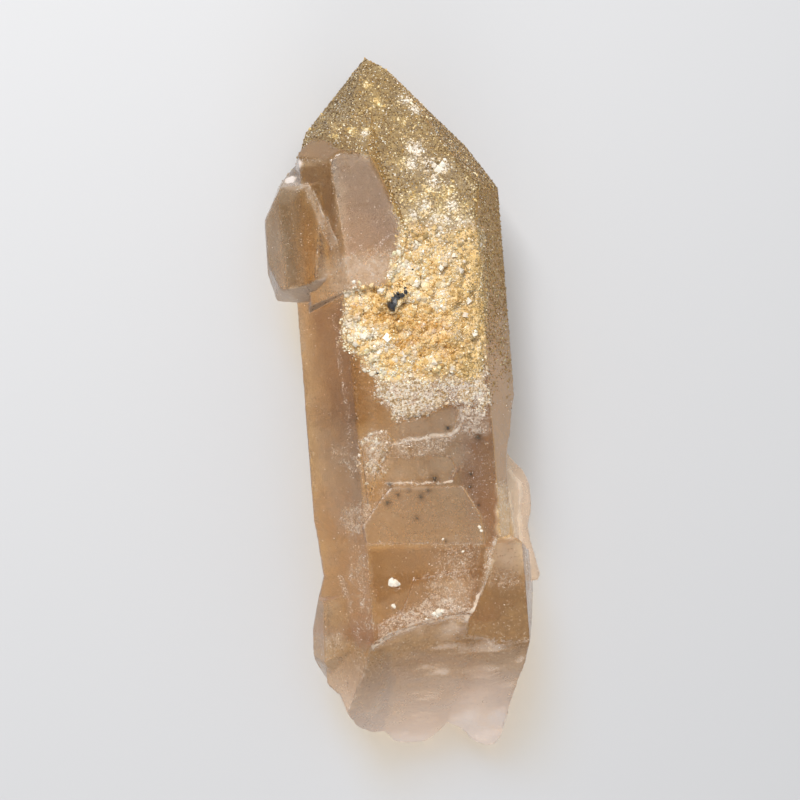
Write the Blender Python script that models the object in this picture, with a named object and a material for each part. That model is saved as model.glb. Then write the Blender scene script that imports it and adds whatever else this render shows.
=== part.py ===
# Smoky citrine crystal point, lying on its rear prism face.
# Metres, +Z up. +Y runs along the crystal's long axis towards its tip, +Z out of its front face.
import math
import random

import bmesh
import bpy
from mathutils import Vector
from mathutils.noise import noise

MM = 0.001

# The point's long axis, and the height of its tip above the middle of its length, in mm.
AXIS_HEIGHT = 11.0
TIP = 87.5

# Quartz keeps its angles: prism faces every 60 degrees, and end faces 38.2 degrees off the long axis.
END_SLOPE = 38.2

# Distance of each prism face from the long axis, by the compass angle it faces, in mm.
PRISM_FACES = {90: 29.6, 30: 31.3, -30: 19.3, -90: AXIS_HEIGHT, 210: 14.6, 150: 27.0}

# Where the plane of each end face meets the long axis. The face at 30 degrees stands further out.
END_FACES = {90: TIP, 30: TIP + 3.4, -30: TIP, -90: TIP, 210: TIP, 150: TIP}

# A steeper step between the front prism face and the front end face.
STEEP_SLOPE = 20.0
STEEP_START = 41.0

FRONT = AXIS_HEIGHT + PRISM_FACES[90]

# A face counts as looking up when the upward part of its unit normal is more than this.
LOOKS_UP = 0.01

# The boxes the crystals are cleaved from: the main one, and the smaller ones that grew against it.
MAIN_BOX = ((-60.0, -96.0, -20.0), (60.0, 110.0, 70.0))
SMALL_BOX = ((-60.0, -99.0, -5.0), (60.0, 99.0, 60.0))

# A height above everything, where the plates that cut downwards start.
CLEAR_TOP = 60.0

# A second crystal grown against the upper left, in two stages.
# Each face is given by the way it looks and a point on it.
SIDE_CRYSTAL = {
    "shoulder": [
        ((0.00, 0.12, 1.00), (-8.0, 41.0, 41.2)),
        ((-0.77, 0.03, 0.64), (-14.9, 50.0, 40.2)),
        ((-1.00, 0.00, -0.05), (-21.9, 55.0, 32.0)),
        ((-0.45, 0.75, 0.55), (-18.4, 59.3, 36.6)),
        ((0.05, 0.80, 0.60), (-8.0, 60.6, 38.9)),
        ((-0.75, 0.66, -0.18), (-21.9, 60.6, 26.0)),
        ((0.80, 0.36, 0.48), (-1.4, 49.0, 40.2)),
        ((0.80, -0.34, 0.50), (-1.2, 33.5, 42.0)),
        ((0.05, -0.97, 0.25), (-9.0, 27.4, 42.0)),
        ((-0.35, 0.85, -0.40), (-17.3, 66.9, 26.0)),
        ((-0.35, 0.00, -0.94), (-18.0, 50.0, 15.0)),
        ((0.00, 0.00, -1.00), (-10.0, 50.0, 9.0)),
    ],
    "belly": [
        ((-0.66, 0.10, 0.75), (-23.8, 40.0, 33.2)),
        ((-0.30, 0.05, 0.95), (-18.2, 40.0, 37.4)),
        ((-0.88, 0.06, 0.47), (-27.4, 42.0, 29.6)),
        ((-1.00, 0.02, -0.10), (-30.5, 42.0, 25.0)),
        ((-0.88, 0.47, -0.05), (-30.4, 46.6, 25.0)),
        ((-0.72, 0.69, 0.00), (-27.0, 53.9, 26.0)),
        ((-0.25, 0.92, 0.30), (-24.5, 53.6, 32.0)),
        ((-0.96, -0.28, 0.00), (-30.2, 35.0, 25.0)),
        ((-0.62, -0.78, 0.10), (-27.8, 28.4, 25.0)),
        ((-0.30, -0.86, 0.42), (-25.0, 27.0, 29.0)),
        ((-0.10, -0.72, 0.69), (-22.0, 27.8, 34.0)),
        ((0.05, -0.99, -0.12), (-24.0, 25.8, 26.0)),
        ((0.60, -0.78, 0.20), (-16.5, 27.0, 36.0)),
        ((0.97, 0.00, 0.25), (-13.8, 40.0, 37.0)),
        ((-0.45, 0.00, -0.89), (-27.0, 40.0, 15.0)),
        ((0.00, 0.00, -1.00), (-10.0, 40.0, 6.0)),
    ],
}

# A third crystal at the lower right, its front face a step below the main one's.
LOWER_CRYSTAL = [
    ((0.00, 0.00, 1.00), (20.0, -45.0, 36.2)),
    ((0.95, 0.00, 0.31), (25.4, -50.0, 35.6)),
    ((0.80, 0.00, -0.60), (31.2, -50.0, 17.0)),
    ((0.10, 0.85, 0.50), (22.0, -35.6, 36.2)),
    ((0.55, 0.80, 0.00), (28.4, -39.0, 20.0)),
    ((0.00, 0.00, -1.00), (20.0, -60.0, 3.0)),
    ((-1.00, 0.00, 0.00), (4.0, -60.0, 20.0)),
]

# A low swelling on the left below the middle, with its own small faces.
LEFT_HEEL = [
    ((-0.97, 0.06, 0.22), (-25.4, -58.0, 22.0)),
    ((-0.72, 0.05, 0.69), (-22.2, -60.0, 29.6)),
    ((-0.55, 0.80, 0.25), (-21.6, -45.0, 22.0)),
    ((-0.40, -0.60, 0.69), (-20.0, -66.0, 27.0)),
    ((-0.85, -0.50, 0.10), (-25.2, -63.5, 20.0)),
    ((-0.55, 0.00, -0.83), (-22.0, -56.0, 11.5)),
    ((1.00, 0.00, 0.00), (-12.0, -56.0, 20.0)),
    ((0.10, -0.99, 0.10), (-16.0, -72.0, 20.0)),
]

# The thin clear flake on the right: its outline, and the two slanted faces that leave its rim thin.
FLAKE_OUTLINE = [
    (20.0, -12.5), (26.2, -13.6), (27.6, -16.5), (31.1, -19.9), (32.6, -24.0), (32.4, -30.3),
    (31.3, -34.3), (31.4, -37.6), (32.6, -43.8), (33.4, -46.9), (32.4, -48.1), (20.0, -48.6),
]
FLAKE_BACK = 12.5
FLAKE_FRONT = 25.0
FLAKE_FACES = [
    ((0.45, 0.05, 0.89), (31.0, -30.0, 18.6)),
    ((0.62, 0.00, -0.78), (31.0, -30.0, 14.8)),
]

# Where the main crystal steps in above the flake, and the bite that shows the lower crystal's face.
RIGHT_STEP = [
    (60.0, -0.4), (29.8, -0.4), (27.6, -4.7), (26.6, -9.7), (24.9, -13.8), (24.0, -18.2),
    (23.4, -30.0), (21.0, -60.0), (60.0, -60.0),
]
RIGHT_STEP_FLOOR = 12.0
BITE = [
    (60.0, -35.4), (18.6, -35.4), (16.4, -41.0), (14.2, -47.2), (10.0, -54.6), (10.0, -99.0), (60.0, -99.0),
]
BITE_FLOOR = 34.8

# Growth ledges on the front face: outline, and how far each stands proud or lies sunk.
LEDGES = {
    "upper recess": (-0.9, [
        (-7.1, -7.0), (-4.7, -10.5), (-1.1, -9.4), (8.5, -9.4), (9.9, -7.1), (11.5, -3.3), (8.6, -1.9),
        (5.2, -3.8), (-0.2, -4.1),
    ]),
    "lower window": (-0.7, [
        (-8.1, -19.6), (7.6, -20.8), (9.4, -17.4), (8.0, -14.6), (-7.6, -13.4), (-9.4, -16.4),
    ]),
    "plateau": (1.1, [
        (-7.4, -20.6), (-14.6, -29.3), (-14.1, -33.9), (14.8, -36.5), (14.4, -29.4), (10.5, -22.0),
    ]),
    "left apron": (0.6, [
        (-13.4, -9.8), (-11.3, -7.3), (-8.1, -6.9), (-5.9, -10.6), (-8.9, -13.6), (-10.6, -18.6),
        (-13.0, -24.8),
    ]),
    "low shelf": (0.8, [
        (-3.0, -43.2), (14.4, -41.8), (15.8, -38.6), (17.4, -40.6), (13.8, -47.0), (9.6, -53.4),
        (-3.8, -54.6), (-13.4, -57.6), (-12.8, -53.4), (-7.0, -51.2),
    ]),
}
LEDGE_ROOT = 2.5

# The broken base: a shell-shaped fracture from a ledge on the front face down to a thin lower edge.
BREAK_LEDGE = [
    (-30.0, -64.0), (-14.0, -58.7), (-8.5, -56.3), (0.8, -54.2), (8.1, -53.2), (16.0, -55.4), (36.0, -61.0),
]
BREAK_TOP = 38.6
BREAK_RISE = 3.0
BREAK_FALL = 32.5
BREAK_REACH = 35.0
BREAK_LIMIT = 1.2
BREAK_POWER = 1.15
BREAK_VALLEY = {"x_top": 13.5, "x_bottom": 8.4, "width": 3.4, "depth": 3.6}
BREAK_LOBE = {"height": 3.2, "width": 16.0}

# The shell's ripples: height, spacing, how much they curve, and how soon below the ledge they begin.
BREAK_RIPPLE = {"height": 0.28, "length": 6.5, "curve": 0.012, "onset": 3.0}
BREAK_ROUGH = {"height": 0.6, "size": 7.0, "seed": 3.0}
BREAK_CELL = 1.7
BREAK_LOW = (-40.0, -99.0)
BREAK_HIGH = (44.0, -50.0)
BREAK_ROOF = 70.0

# Outline of the base, taken round its rim from left to right. Above it everything is kept.
BASE_OUTLINE = [
    (-60.0, -18.0), (-24.6, -18.0), (-24.2, -20.6), (-22.6, -24.4), (-21.4, -33.0), (-20.6, -41.8),
    (-22.6, -47.8), (-24.6, -55.2), (-24.9, -61.6), (-23.6, -65.6), (-21.6, -69.0), (-18.9, -71.1),
    (-17.3, -75.4), (-15.0, -79.9), (-11.4, -82.4), (-8.4, -82.9), (-6.4, -86.0), (-2.2, -87.3),
    (1.6, -87.3), (4.4, -85.6), (7.6, -82.8), (10.8, -84.6), (14.0, -88.4), (17.4, -90.2),
    (19.8, -89.7), (21.0, -88.0), (22.0, -84.8), (23.4, -80.3), (25.1, -74.6), (27.6, -68.4),
    (29.8, -61.1), (31.2, -55.9), (32.0, -52.1), (32.4, -49.0), (60.0, -49.0),
]
BASE_TOP_CORNERS = [(60.0, 99.0), (-60.0, 99.0)]
BASE_FLOOR = -10.0
BASE_SLANT = 10.0
BASE_PLANE = 12.0

# The granular crust over the front face, as a lumpy sheet with a ragged rim.
CRUST_OUTLINE = [
    (-14.7, 23.1), (-15.6, 15.2), (-14.4, 12.2), (-11.6, 9.6), (-9.0, 6.6), (-2.0, 6.2),
    (6.0, 5.2), (13.0, 4.2), (19.0, 5.4), (20.2, 20.0), (20.8, 34.0), (12.0, 36.6),
    (2.0, 38.2), (-0.4, 35.2), (-4.6, 28.0), (-11.4, 27.6),
]
CRUST_CELL = 1.6
CRUST_MARGIN = 0.7
CRUST_HEIGHT = 2.0
CRUST_ROOT = 8.0
CRUST_RIM = 4.0
CRUST_SINK = 0.8
CRUST_LEVEL = 0.55

# The lumps of the crust, large and small: their share of its height, their size and their seed.
CRUST_WAVES = [(0.9, 3.1, 7.0), (0.6, 1.4, 1.0)]

# Blocky lumps that stand out of the crust and the end faces: place, half size, and height over the face.
LUMPS = [
    (-5.4, 26.8, 1.3, 1.6), (-1.0, 11.0, 1.3, 2.2), (-5.1, 15.2, 1.2, 2.0), (10.1, 6.8, 1.3, 1.4),
    (13.2, 34.1, 0.9, 1.5), (9.6, 31.4, 1.0, 1.7), (14.4, 30.1, 1.2, 1.8), (16.1, 22.9, 1.0, 1.7),
    (16.4, 14.3, 1.0, 1.7), (13.8, -2.0, 1.0, 0.9), (-11.8, 21.5, 1.9, 2.3), (-12.4, 15.4, 1.7, 2.1),
    (4.2, 14.2, 1.9, 2.4), (4.8, 7.6, 1.6, 1.7), (-2.0, 17.6, 1.5, 2.2), (9.8, 17.4, 1.7, 2.1),
    (2.2, 37.6, 1.2, 1.2), (5.8, 26.4, 1.4, 1.8), (-8.6, 11.0, 1.5, 1.6),
]
END_LUMPS = [(10.2, 56.4, 1.3, 0.9), (12.4, 57.6, 1.1, 0.8), (3.6, 60.6, 0.9, 0.5), (11.6, 51.8, 1.1, 0.6)]
CHIPS = [(-8.3, -43.9, 1.3, 0.5), (-8.8, -49.4, 0.7, 0.4), (1.9, -52.3, 1.5, 0.9)]
LUMP_POINTS = 14
LUMP_SQUARENESS = 0.75
LUMP_SEED = 21

# The dark, stubby grain in the crust: its two ends, and how far it reaches over and under the face.
DARK_GRAIN = {"start": (-3.6, 21.6), "end": (0.4, 25.8), "top": 2.3, "root": 1.5}

# Its corners: the end each belongs to, and the distance along and across the grain from there.
DARK_CORNERS = [
    ("start", 0.0, -0.7), ("start", -0.9, 0.0), ("start", 0.0, 1.0),
    ("end", 0.0, 0.6), ("end", 1.4, 0.0), ("end", 0.0, -0.5),
]

CITRINE_COLOUR = (0.42, 0.27, 0.13, 1.0)


def clear_scene():
    for item in list(bpy.data.objects):
        bpy.data.objects.remove(item, do_unlink=True)


def make_citrine():
    """Warm smoky brown and clear, with the gloss of a natural crystal face."""
    material = bpy.data.materials.new("citrine")
    material.use_nodes = True
    shader = material.node_tree.nodes["Principled BSDF"]
    shader.inputs["Base Color"].default_value = CITRINE_COLOUR
    shader.inputs["Roughness"].default_value = 0.25
    shader.inputs["Metallic"].default_value = 0.0
    shader.inputs["IOR"].default_value = 1.544
    shader.inputs["Transmission Weight"].default_value = 0.8
    return material


def add_object(name, bm):
    """Put the bmesh, drawn in mm, into the scene in metres."""
    bmesh.ops.recalc_face_normals(bm, faces=bm.faces)
    bmesh.ops.scale(bm, vec=(MM, MM, MM), verts=bm.verts)
    mesh = bpy.data.meshes.new(name)
    bm.to_mesh(mesh)
    bm.free()
    item = bpy.data.objects.new(name, mesh)
    bpy.context.collection.objects.link(item)
    return item


def cleave(bm, normal, point):
    """Cut away all that lies beyond the plane and close the cut with one flat face."""
    everything = bm.verts[:] + bm.edges[:] + bm.faces[:]
    cut = bmesh.ops.bisect_plane(bm, geom=everything, plane_co=point, plane_no=normal, clear_outer=True)
    rim = [piece for piece in cut["geom_cut"] if isinstance(piece, bmesh.types.BMEdge)]
    bmesh.ops.edgenet_fill(bm, edges=rim)


def cleaved_block(name, faces, low, high):
    """A crystal: a box from low to high, cut down by each (normal, point) of faces."""
    bm = bmesh.new()
    bmesh.ops.create_cube(bm, size=1.0)
    for vert in bm.verts:
        vert.co = Vector([low[i] if vert.co[i] < 0 else high[i] for i in range(3)])
    for normal, point in faces:
        cleave(bm, Vector(normal).normalized(), Vector(point))
    return add_object(name, bm)


def prism_normal(compass, slope):
    """The way a face looks: round the long axis by compass, and leaning to the tip by slope."""
    compass = math.radians(compass)
    slope = math.radians(slope)
    return (math.cos(compass) * math.cos(slope), math.sin(slope), math.sin(compass) * math.cos(slope))


def main_faces():
    """Every flat face of the main crystal, as the way it looks and a point on it."""
    faces = []
    for compass, distance in PRISM_FACES.items():
        normal = prism_normal(compass, 0.0)
        faces.append((normal, (normal[0] * distance, 0.0, AXIS_HEIGHT + normal[2] * distance)))
    for compass, apex in END_FACES.items():
        faces.append((prism_normal(compass, END_SLOPE), (0.0, apex, AXIS_HEIGHT)))
    faces.append((prism_normal(90, STEEP_SLOPE), (0.0, STEEP_START, FRONT)))
    return faces


def face_height(x, y):
    """Height of the main crystal's upper side at x, y: the lowest of the faces that look up."""
    heights = []
    for normal, point in main_faces():
        if normal[2] > LOOKS_UP:
            heights.append(point[2] - (normal[0] * (x - point[0]) + normal[1] * (y - point[1])) / normal[2])
    return min(heights)


def main_crystal():
    return cleaved_block("crystal_point", main_faces(), *MAIN_BOX)


def plate(name, outline, bottom, top, slant=0.0):
    """A flat plate with the given outline, its walls leaning left by slant degrees on the way up."""
    lean = math.tan(math.radians(slant))
    bm = bmesh.new()
    floor = [bm.verts.new((x - (bottom - BASE_PLANE) * lean, y, bottom)) for x, y in outline]
    roof = [bm.verts.new((x - (top - BASE_PLANE) * lean, y, top)) for x, y in outline]
    bm.faces.new(floor)
    bm.faces.new(roof)
    count = len(outline)
    for i in range(count):
        j = (i + 1) % count
        bm.faces.new((floor[i], floor[j], roof[j], roof[i]))
    return add_object(name, bm)


def combine(body, tool, operation):
    """Boolean the tool into the body and take the tool away."""
    modifier = body.modifiers.new(tool.name, "BOOLEAN")
    modifier.operation = operation
    modifier.solver = "EXACT"
    modifier.object = tool
    evaluated = body.evaluated_get(bpy.context.evaluated_depsgraph_get())
    result = bpy.data.meshes.new_from_object(evaluated)
    body.modifiers.clear()
    body.data = result
    bpy.data.objects.remove(tool, do_unlink=True)


def inside(outline, x, y):
    """Whether the point lies within the closed outline."""
    hit = False
    count = len(outline)
    for i in range(count):
        ax, ay = outline[i]
        bx, by = outline[(i + 1) % count]
        if (ay > y) != (by > y) and x < (bx - ax) * (y - ay) / (by - ay) + ax:
            hit = not hit
    return hit


def rim_distance(outline, x, y):
    """Distance from the point to the nearest side of the outline."""
    best = math.inf
    count = len(outline)
    point = Vector((x, y))
    for i in range(count):
        start = Vector(outline[i])
        along = Vector(outline[(i + 1) % count]) - start
        share = max(0.0, min(1.0, (point - start).dot(along) / along.length_squared))
        best = min(best, (point - start - along * share).length)
    return best


def height_sheet(name, low, high, cell, height_at, flat_side):
    """A solid between the height field and the level flat_side."""
    columns = max(2, round((high[0] - low[0]) / cell))
    rows = max(2, round((high[1] - low[1]) / cell))
    bm = bmesh.new()
    grid = []
    for row in range(rows + 1):
        y = low[1] + (high[1] - low[1]) * row / rows
        line = []
        for column in range(columns + 1):
            x = low[0] + (high[0] - low[0]) * column / columns
            line.append(bm.verts.new((x, y, height_at(x, y))))
        grid.append(line)
    for row in range(rows):
        for column in range(columns):
            a = grid[row][column]
            b = grid[row][column + 1]
            c = grid[row + 1][column + 1]
            d = grid[row + 1][column]
            bm.faces.new((a, b, c))
            bm.faces.new((a, c, d))
    rim = [edge for edge in bm.edges if edge.is_boundary]
    skirt = bmesh.ops.extrude_edge_only(bm, edges=rim)["geom"]
    low_rim = [piece for piece in skirt if isinstance(piece, bmesh.types.BMVert)]
    for vert in low_rim:
        vert.co.z = flat_side
    floor = [piece for piece in skirt if isinstance(piece, bmesh.types.BMEdge) and piece.is_boundary]
    bmesh.ops.edgenet_fill(bm, edges=floor)
    return add_object(name, bm)


def ledge_line(x):
    """The y of the break's upper edge at x."""
    for (ax, ay), (bx, by) in zip(BREAK_LEDGE, BREAK_LEDGE[1:]):
        if ax <= x <= bx:
            return ay + (by - ay) * (x - ax) / (bx - ax)
    return BREAK_LEDGE[0][1] if x < BREAK_LEDGE[0][0] else BREAK_LEDGE[-1][1]


def break_height(x, y):
    """Height of the fracture: a long shell-like fall in two lobes with a valley between them."""
    share = (ledge_line(x) - y) / BREAK_REACH
    if share < 0.0:
        return BREAK_TOP - share * BREAK_REACH * BREAK_RISE
    fall = BREAK_FALL * min(share, BREAK_LIMIT) ** BREAK_POWER
    middle = BREAK_VALLEY["x_top"] + (BREAK_VALLEY["x_bottom"] - BREAK_VALLEY["x_top"]) * min(share, 1.0)
    valley = BREAK_VALLEY["depth"] * share * math.exp(-((x - middle) / BREAK_VALLEY["width"]) ** 2)
    across = math.cos((x - middle) / BREAK_LOBE["width"] * math.pi / 2) ** 2
    lobe = BREAK_LOBE["height"] * math.sin(math.pi * min(share, 1.0)) * across
    phase = (y - BREAK_RIPPLE["curve"] * (x - middle) ** 2) / BREAK_RIPPLE["length"]
    onset = min(share * BREAK_RIPPLE["onset"], 1.0)
    ripple = BREAK_RIPPLE["height"] * math.sin(2 * math.pi * phase) * onset
    spot = Vector((x / BREAK_ROUGH["size"], y / BREAK_ROUGH["size"], BREAK_ROUGH["seed"]))
    return BREAK_TOP - fall - valley + lobe + ripple + BREAK_ROUGH["height"] * noise(spot)


def crust_height(x, y):
    """Height of the lumpy crust over the front and the steep face, sinking out of sight at its rim."""
    face = face_height(x, y)
    depth = rim_distance(CRUST_OUTLINE, x, y)
    if not inside(CRUST_OUTLINE, x, y):
        return face - CRUST_SINK
    level = CRUST_LEVEL
    for share, size, seed in CRUST_WAVES:
        level += share * noise(Vector((x / size, y / size, seed)))
    return face + CRUST_HEIGHT * min(1.0, depth / CRUST_RIM) * level


def lump(name, x, y, half, top, level, chooser):
    """A small blocky lump rooted in the face, whose height there is level."""
    bm = bmesh.new()
    for _ in range(LUMP_POINTS):
        across = Vector([chooser.uniform(-1.0, 1.0) for _ in range(3)]).normalized()
        stretch = max(abs(part) for part in across)
        spot = across * (LUMP_SQUARENESS / stretch + 1.0 - LUMP_SQUARENESS)
        height = level - half + (spot.z + 1.0) / 2 * (top + half)
        bm.verts.new((x + spot.x * half, y + spot.y * half, height))
    bmesh.ops.convex_hull(bm, input=bm.verts)
    loose = [vert for vert in bm.verts if not vert.link_faces]
    bmesh.ops.delete(bm, geom=loose, context="VERTS")
    return add_object(name, bm)


def dark_grain():
    along = (Vector(DARK_GRAIN["end"]) - Vector(DARK_GRAIN["start"])).normalized()
    across = Vector((-along.y, along.x))
    outline = [tuple(Vector(DARK_GRAIN[end]) + along * on + across * off) for end, on, off in DARK_CORNERS]
    return plate("dark grain", outline, FRONT - DARK_GRAIN["root"], FRONT + DARK_GRAIN["top"])


def grow_neighbours(body):
    """Join the crystals that grew against the main one."""
    combine(body, plate("right step", RIGHT_STEP, RIGHT_STEP_FLOOR, CLEAR_TOP), "DIFFERENCE")
    combine(body, plate("bite", BITE, BITE_FLOOR, CLEAR_TOP), "DIFFERENCE")
    for name, faces in SIDE_CRYSTAL.items():
        combine(body, cleaved_block(name, faces, *SMALL_BOX), "UNION")
    combine(body, cleaved_block("lower crystal", LOWER_CRYSTAL, *SMALL_BOX), "UNION")
    combine(body, cleaved_block("left heel", LEFT_HEEL, *SMALL_BOX), "UNION")
    flake = plate("flake", FLAKE_OUTLINE, FLAKE_BACK, FLAKE_FRONT)
    for number, (normal, point) in enumerate(FLAKE_FACES):
        keep = cleaved_block("flake side %d" % number, [(normal, point)], *SMALL_BOX)
        combine(flake, keep, "INTERSECT")
    combine(body, flake, "UNION")


def cut_ledges(body):
    for name, (rise, outline) in LEDGES.items():
        if rise > 0.0:
            combine(body, plate(name, outline, FRONT - LEDGE_ROOT, FRONT + rise), "UNION")
        else:
            combine(body, plate(name, outline, FRONT + rise, FRONT + LEDGE_ROOT), "DIFFERENCE")


def break_base(body):
    """Take the base down to its fracture surface and to the outline of its rim."""
    fracture = height_sheet("fracture", BREAK_LOW, BREAK_HIGH, BREAK_CELL, break_height, BREAK_ROOF)
    combine(body, fracture, "DIFFERENCE")
    keep = BASE_OUTLINE + BASE_TOP_CORNERS
    combine(body, plate("rim", keep, BASE_FLOOR, CLEAR_TOP, BASE_SLANT), "INTERSECT")


def grow_crust(body):
    """Fuse the lumpy crust, its blocks and the loose chips to the faces they grew on."""
    xs = [x for x, y in CRUST_OUTLINE]
    ys = [y for x, y in CRUST_OUTLINE]
    low = (min(xs) - CRUST_MARGIN, min(ys) - CRUST_MARGIN)
    high = (max(xs) + CRUST_MARGIN, max(ys) + CRUST_MARGIN)
    combine(body, height_sheet("crust", low, high, CRUST_CELL, crust_height, FRONT - CRUST_ROOT), "UNION")
    chooser = random.Random(LUMP_SEED)
    for number, (x, y, half, top) in enumerate(LUMPS + END_LUMPS + CHIPS):
        combine(body, lump("lump %d" % number, x, y, half, top, face_height(x, y), chooser), "UNION")
    combine(body, dark_grain(), "UNION")


def centre_on_base(body):
    """Move the mesh so that its origin is under the middle of its box, on the face it rests on."""
    corners = [vert.co for vert in body.data.vertices]
    low = [min(corner[i] for corner in corners) for i in range(3)]
    high = [max(corner[i] for corner in corners) for i in range(3)]
    shift = Vector((-(low[0] + high[0]) / 2, -(low[1] + high[1]) / 2, -low[2]))
    for vert in body.data.vertices:
        vert.co += shift
    print("box in mm", [round((high[i] - low[i]) / MM, 2) for i in range(3)])
    print("moved by mm", [round(part / MM, 3) for part in shift])


def main():
    clear_scene()
    body = main_crystal()
    grow_neighbours(body)
    cut_ledges(body)
    break_base(body)
    grow_crust(body)
    centre_on_base(body)
    body.data.materials.clear()
    body.data.materials.append(make_citrine())


main()
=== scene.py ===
# Smoky citrine point with a gold druse and a grainy crust, lying on a pale table and seen from above.
import math
import bmesh
import bpy
import numpy as np
from mathutils import Matrix, Vector, noise


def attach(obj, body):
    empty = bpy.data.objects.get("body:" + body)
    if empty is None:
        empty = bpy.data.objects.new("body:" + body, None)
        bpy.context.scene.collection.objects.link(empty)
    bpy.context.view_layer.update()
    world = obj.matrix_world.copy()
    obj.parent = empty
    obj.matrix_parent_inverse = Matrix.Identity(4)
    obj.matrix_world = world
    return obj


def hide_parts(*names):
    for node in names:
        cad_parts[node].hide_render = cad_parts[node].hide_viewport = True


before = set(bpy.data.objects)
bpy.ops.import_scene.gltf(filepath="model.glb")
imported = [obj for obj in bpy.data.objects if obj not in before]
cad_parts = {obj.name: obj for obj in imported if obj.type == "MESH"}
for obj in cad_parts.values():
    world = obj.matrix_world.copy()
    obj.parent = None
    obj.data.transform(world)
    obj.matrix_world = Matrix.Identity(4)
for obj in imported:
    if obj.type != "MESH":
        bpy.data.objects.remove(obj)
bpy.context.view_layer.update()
mm = 0.001
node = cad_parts["crystal_point"]

# the tip is the vertex furthest along +Y, and the camera is aimed from it
tipPoint = max((vert.co.copy() for vert in node.data.vertices), key=lambda place: place.y)

view = {
    "aim": Vector((0.38, -87.5, 9.92)) * mm,  # picture centre, measured from the tip
    "distance": 0.6,
    "turn": 10.0,       # degrees left of square to the front face
    "lean": 4.5,        # degrees the long axis leans left in the picture
    "frameWidth": 0.2,  # metres across the picture at the aim point
    "sensor": 36.0,
}

light = {
    "key": {"place": (-0.27, 0.60, 0.74), "size": (0.34, 0.34), "power": 8.6, "tint": (1.0, 0.985, 0.965)},
    "fill": {"place": (0.05, 0.40, 0.95), "size": (0.5, 0.5), "power": 2.2, "tint": (0.98, 0.99, 1.0)},
    "low": {"place": (-0.10, -0.75, 0.45), "size": (0.6, 0.3), "power": 1.9, "tint": (1.0, 1.0, 1.0)},
    "sky": 0.38,
    "skyTint": (0.985, 0.99, 1.0),
    "floorTint": (0.57, 0.575, 0.59),
}


def newMaterial(name):
    made = bpy.data.materials.new(name)
    made.use_nodes = True
    return made, made.node_tree.nodes, made.node_tree.links


def setUpView():
    turn = math.radians(view["turn"])
    lean = math.radians(view["lean"])
    back = Vector((-math.sin(turn), 0, math.cos(turn)))
    level = Vector((math.cos(turn), 0, math.sin(turn)))
    along = Vector((0, 1, 0))
    right = level * math.cos(lean) - along * math.sin(lean)
    up = level * math.sin(lean) + along * math.cos(lean)
    camera = bpy.data.objects.new("camera", bpy.data.cameras.new("camera"))
    bpy.context.collection.objects.link(camera)
    place = tipPoint + view["aim"] + back * view["distance"]
    camera.matrix_world = Matrix.Translation(place) @ Matrix((right, up, back)).transposed().to_4x4()
    camera.data.sensor_width = view["sensor"]
    camera.data.lens = view["sensor"] * view["distance"] / view["frameWidth"]
    camera.data.clip_start = 0.01
    bpy.context.scene.camera = camera


def setUpStage():
    bm = bmesh.new()
    bmesh.ops.create_grid(bm, x_segments=1, y_segments=1, size=3.0)
    mesh = bpy.data.meshes.new("floor")
    bm.to_mesh(mesh)
    bm.free()
    floor = bpy.data.objects.new("floor", mesh)
    bpy.context.collection.objects.link(floor)
    material, nodes = newMaterial("paleTable")[:2]
    shader = nodes["Principled BSDF"]
    shader.inputs["Base Color"].default_value = (*light["floorTint"], 1)
    shader.inputs["Roughness"].default_value = 0.7
    mesh.materials.append(material)
    floor.location.z = -0.0003  # a hair under the stone so the two faces never share a plane
    for name in ("key", "fill", "low"):
        lamp = light[name]
        data = bpy.data.lights.new(name, "AREA")
        data.shape = "RECTANGLE"
        data.size, data.size_y = lamp["size"]
        data.energy = lamp["power"]
        data.color = lamp["tint"]
        item = bpy.data.objects.new(name, data)
        item.location = lamp["place"]
        item.rotation_euler = (-Vector(lamp["place"])).to_track_quat("-Z", "Y").to_euler()
        bpy.context.collection.objects.link(item)
    world = bpy.data.worlds.new("studio")
    world.use_nodes = True
    world.node_tree.nodes["Background"].inputs["Color"].default_value = (*light["skyTint"], 1)
    world.node_tree.nodes["Background"].inputs["Strength"].default_value = light["sky"]
    scene = bpy.context.scene
    scene.world = world
    scene.view_settings.view_transform = "Standard"
    scene.cycles.max_bounces = 24
    scene.cycles.transmission_bounces = 18
    scene.cycles.transparent_max_bounces = 24
    scene.cycles.use_denoising = True


setUpView()
setUpStage()
print("view and studio ready")

# outlines are in mm in the crystal's own plan, x to the right and y towards the tip
sideCrystalRim = [
    (-17, 66.5), (-15.7, 64.8), (-14, 62.8), (-8.3, 61.6), (-4.7, 59), (-3.3, 53.1), (-2.5, 47.8),
    (-0.7, 43.5), (-1, 40.6), (-2.1, 37.5), (-3.9, 33.7), (-6.7, 28.8), (-12, 28.6), (-16, 26), (-36, 24),
    (-36, 66),
]
crustOutline = [
    (-15.9, 25.7), (-16.5, 16.6), (-15.9, 14.3), (-13.2, 11.9), (-12.9, 9.7), (-10.6, 8.6), (-8.7, 7),
    (0.7, 4.8), (10.7, 5.5), (16.6, 4.6), (19.6, 24.1), (19.6, 41.4), (8.6, 42.5), (-0.6, 43.3),
    (-2.1, 37.5), (-3.9, 33.7), (-6.4, 28.8), (-12, 28.9), (-14, 28.4),
]
sideFace = [(-15.5, 60.5), (-6, 60.5), (-1.5, 41), (-6, 36), (-15, 37)]
plateau = [(-8.8, -19.3), (-16, -28), (-15.5, -32.5), (13.4, -35.1), (13, -28), (9.1, -20.7)]
sideLedge = [
    (-27, 56.4), (-21.6, 55.8), (-18.8, 48), (-16.6, 40), (-18.1, 38.8), (-20.8, 47.1), (-22.8, 54.1),
    (-27, 54.6),
]
sideTop = [(-24, 68), (-9, 68), (-9, 60.4), (-24, 61.4)]
darkBand = [(-15, -34), (14, -36), (12, -43), (-3, -43), (-14, -47)]
# painted reflection: a window's bright patch on the side crystal's top, laid in as milky, pale colour
paintedGlint = [(-24.8, 62.2), (-22.6, 61.8), (-24.3, 56.2), (-26.2, 56.6)]

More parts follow.
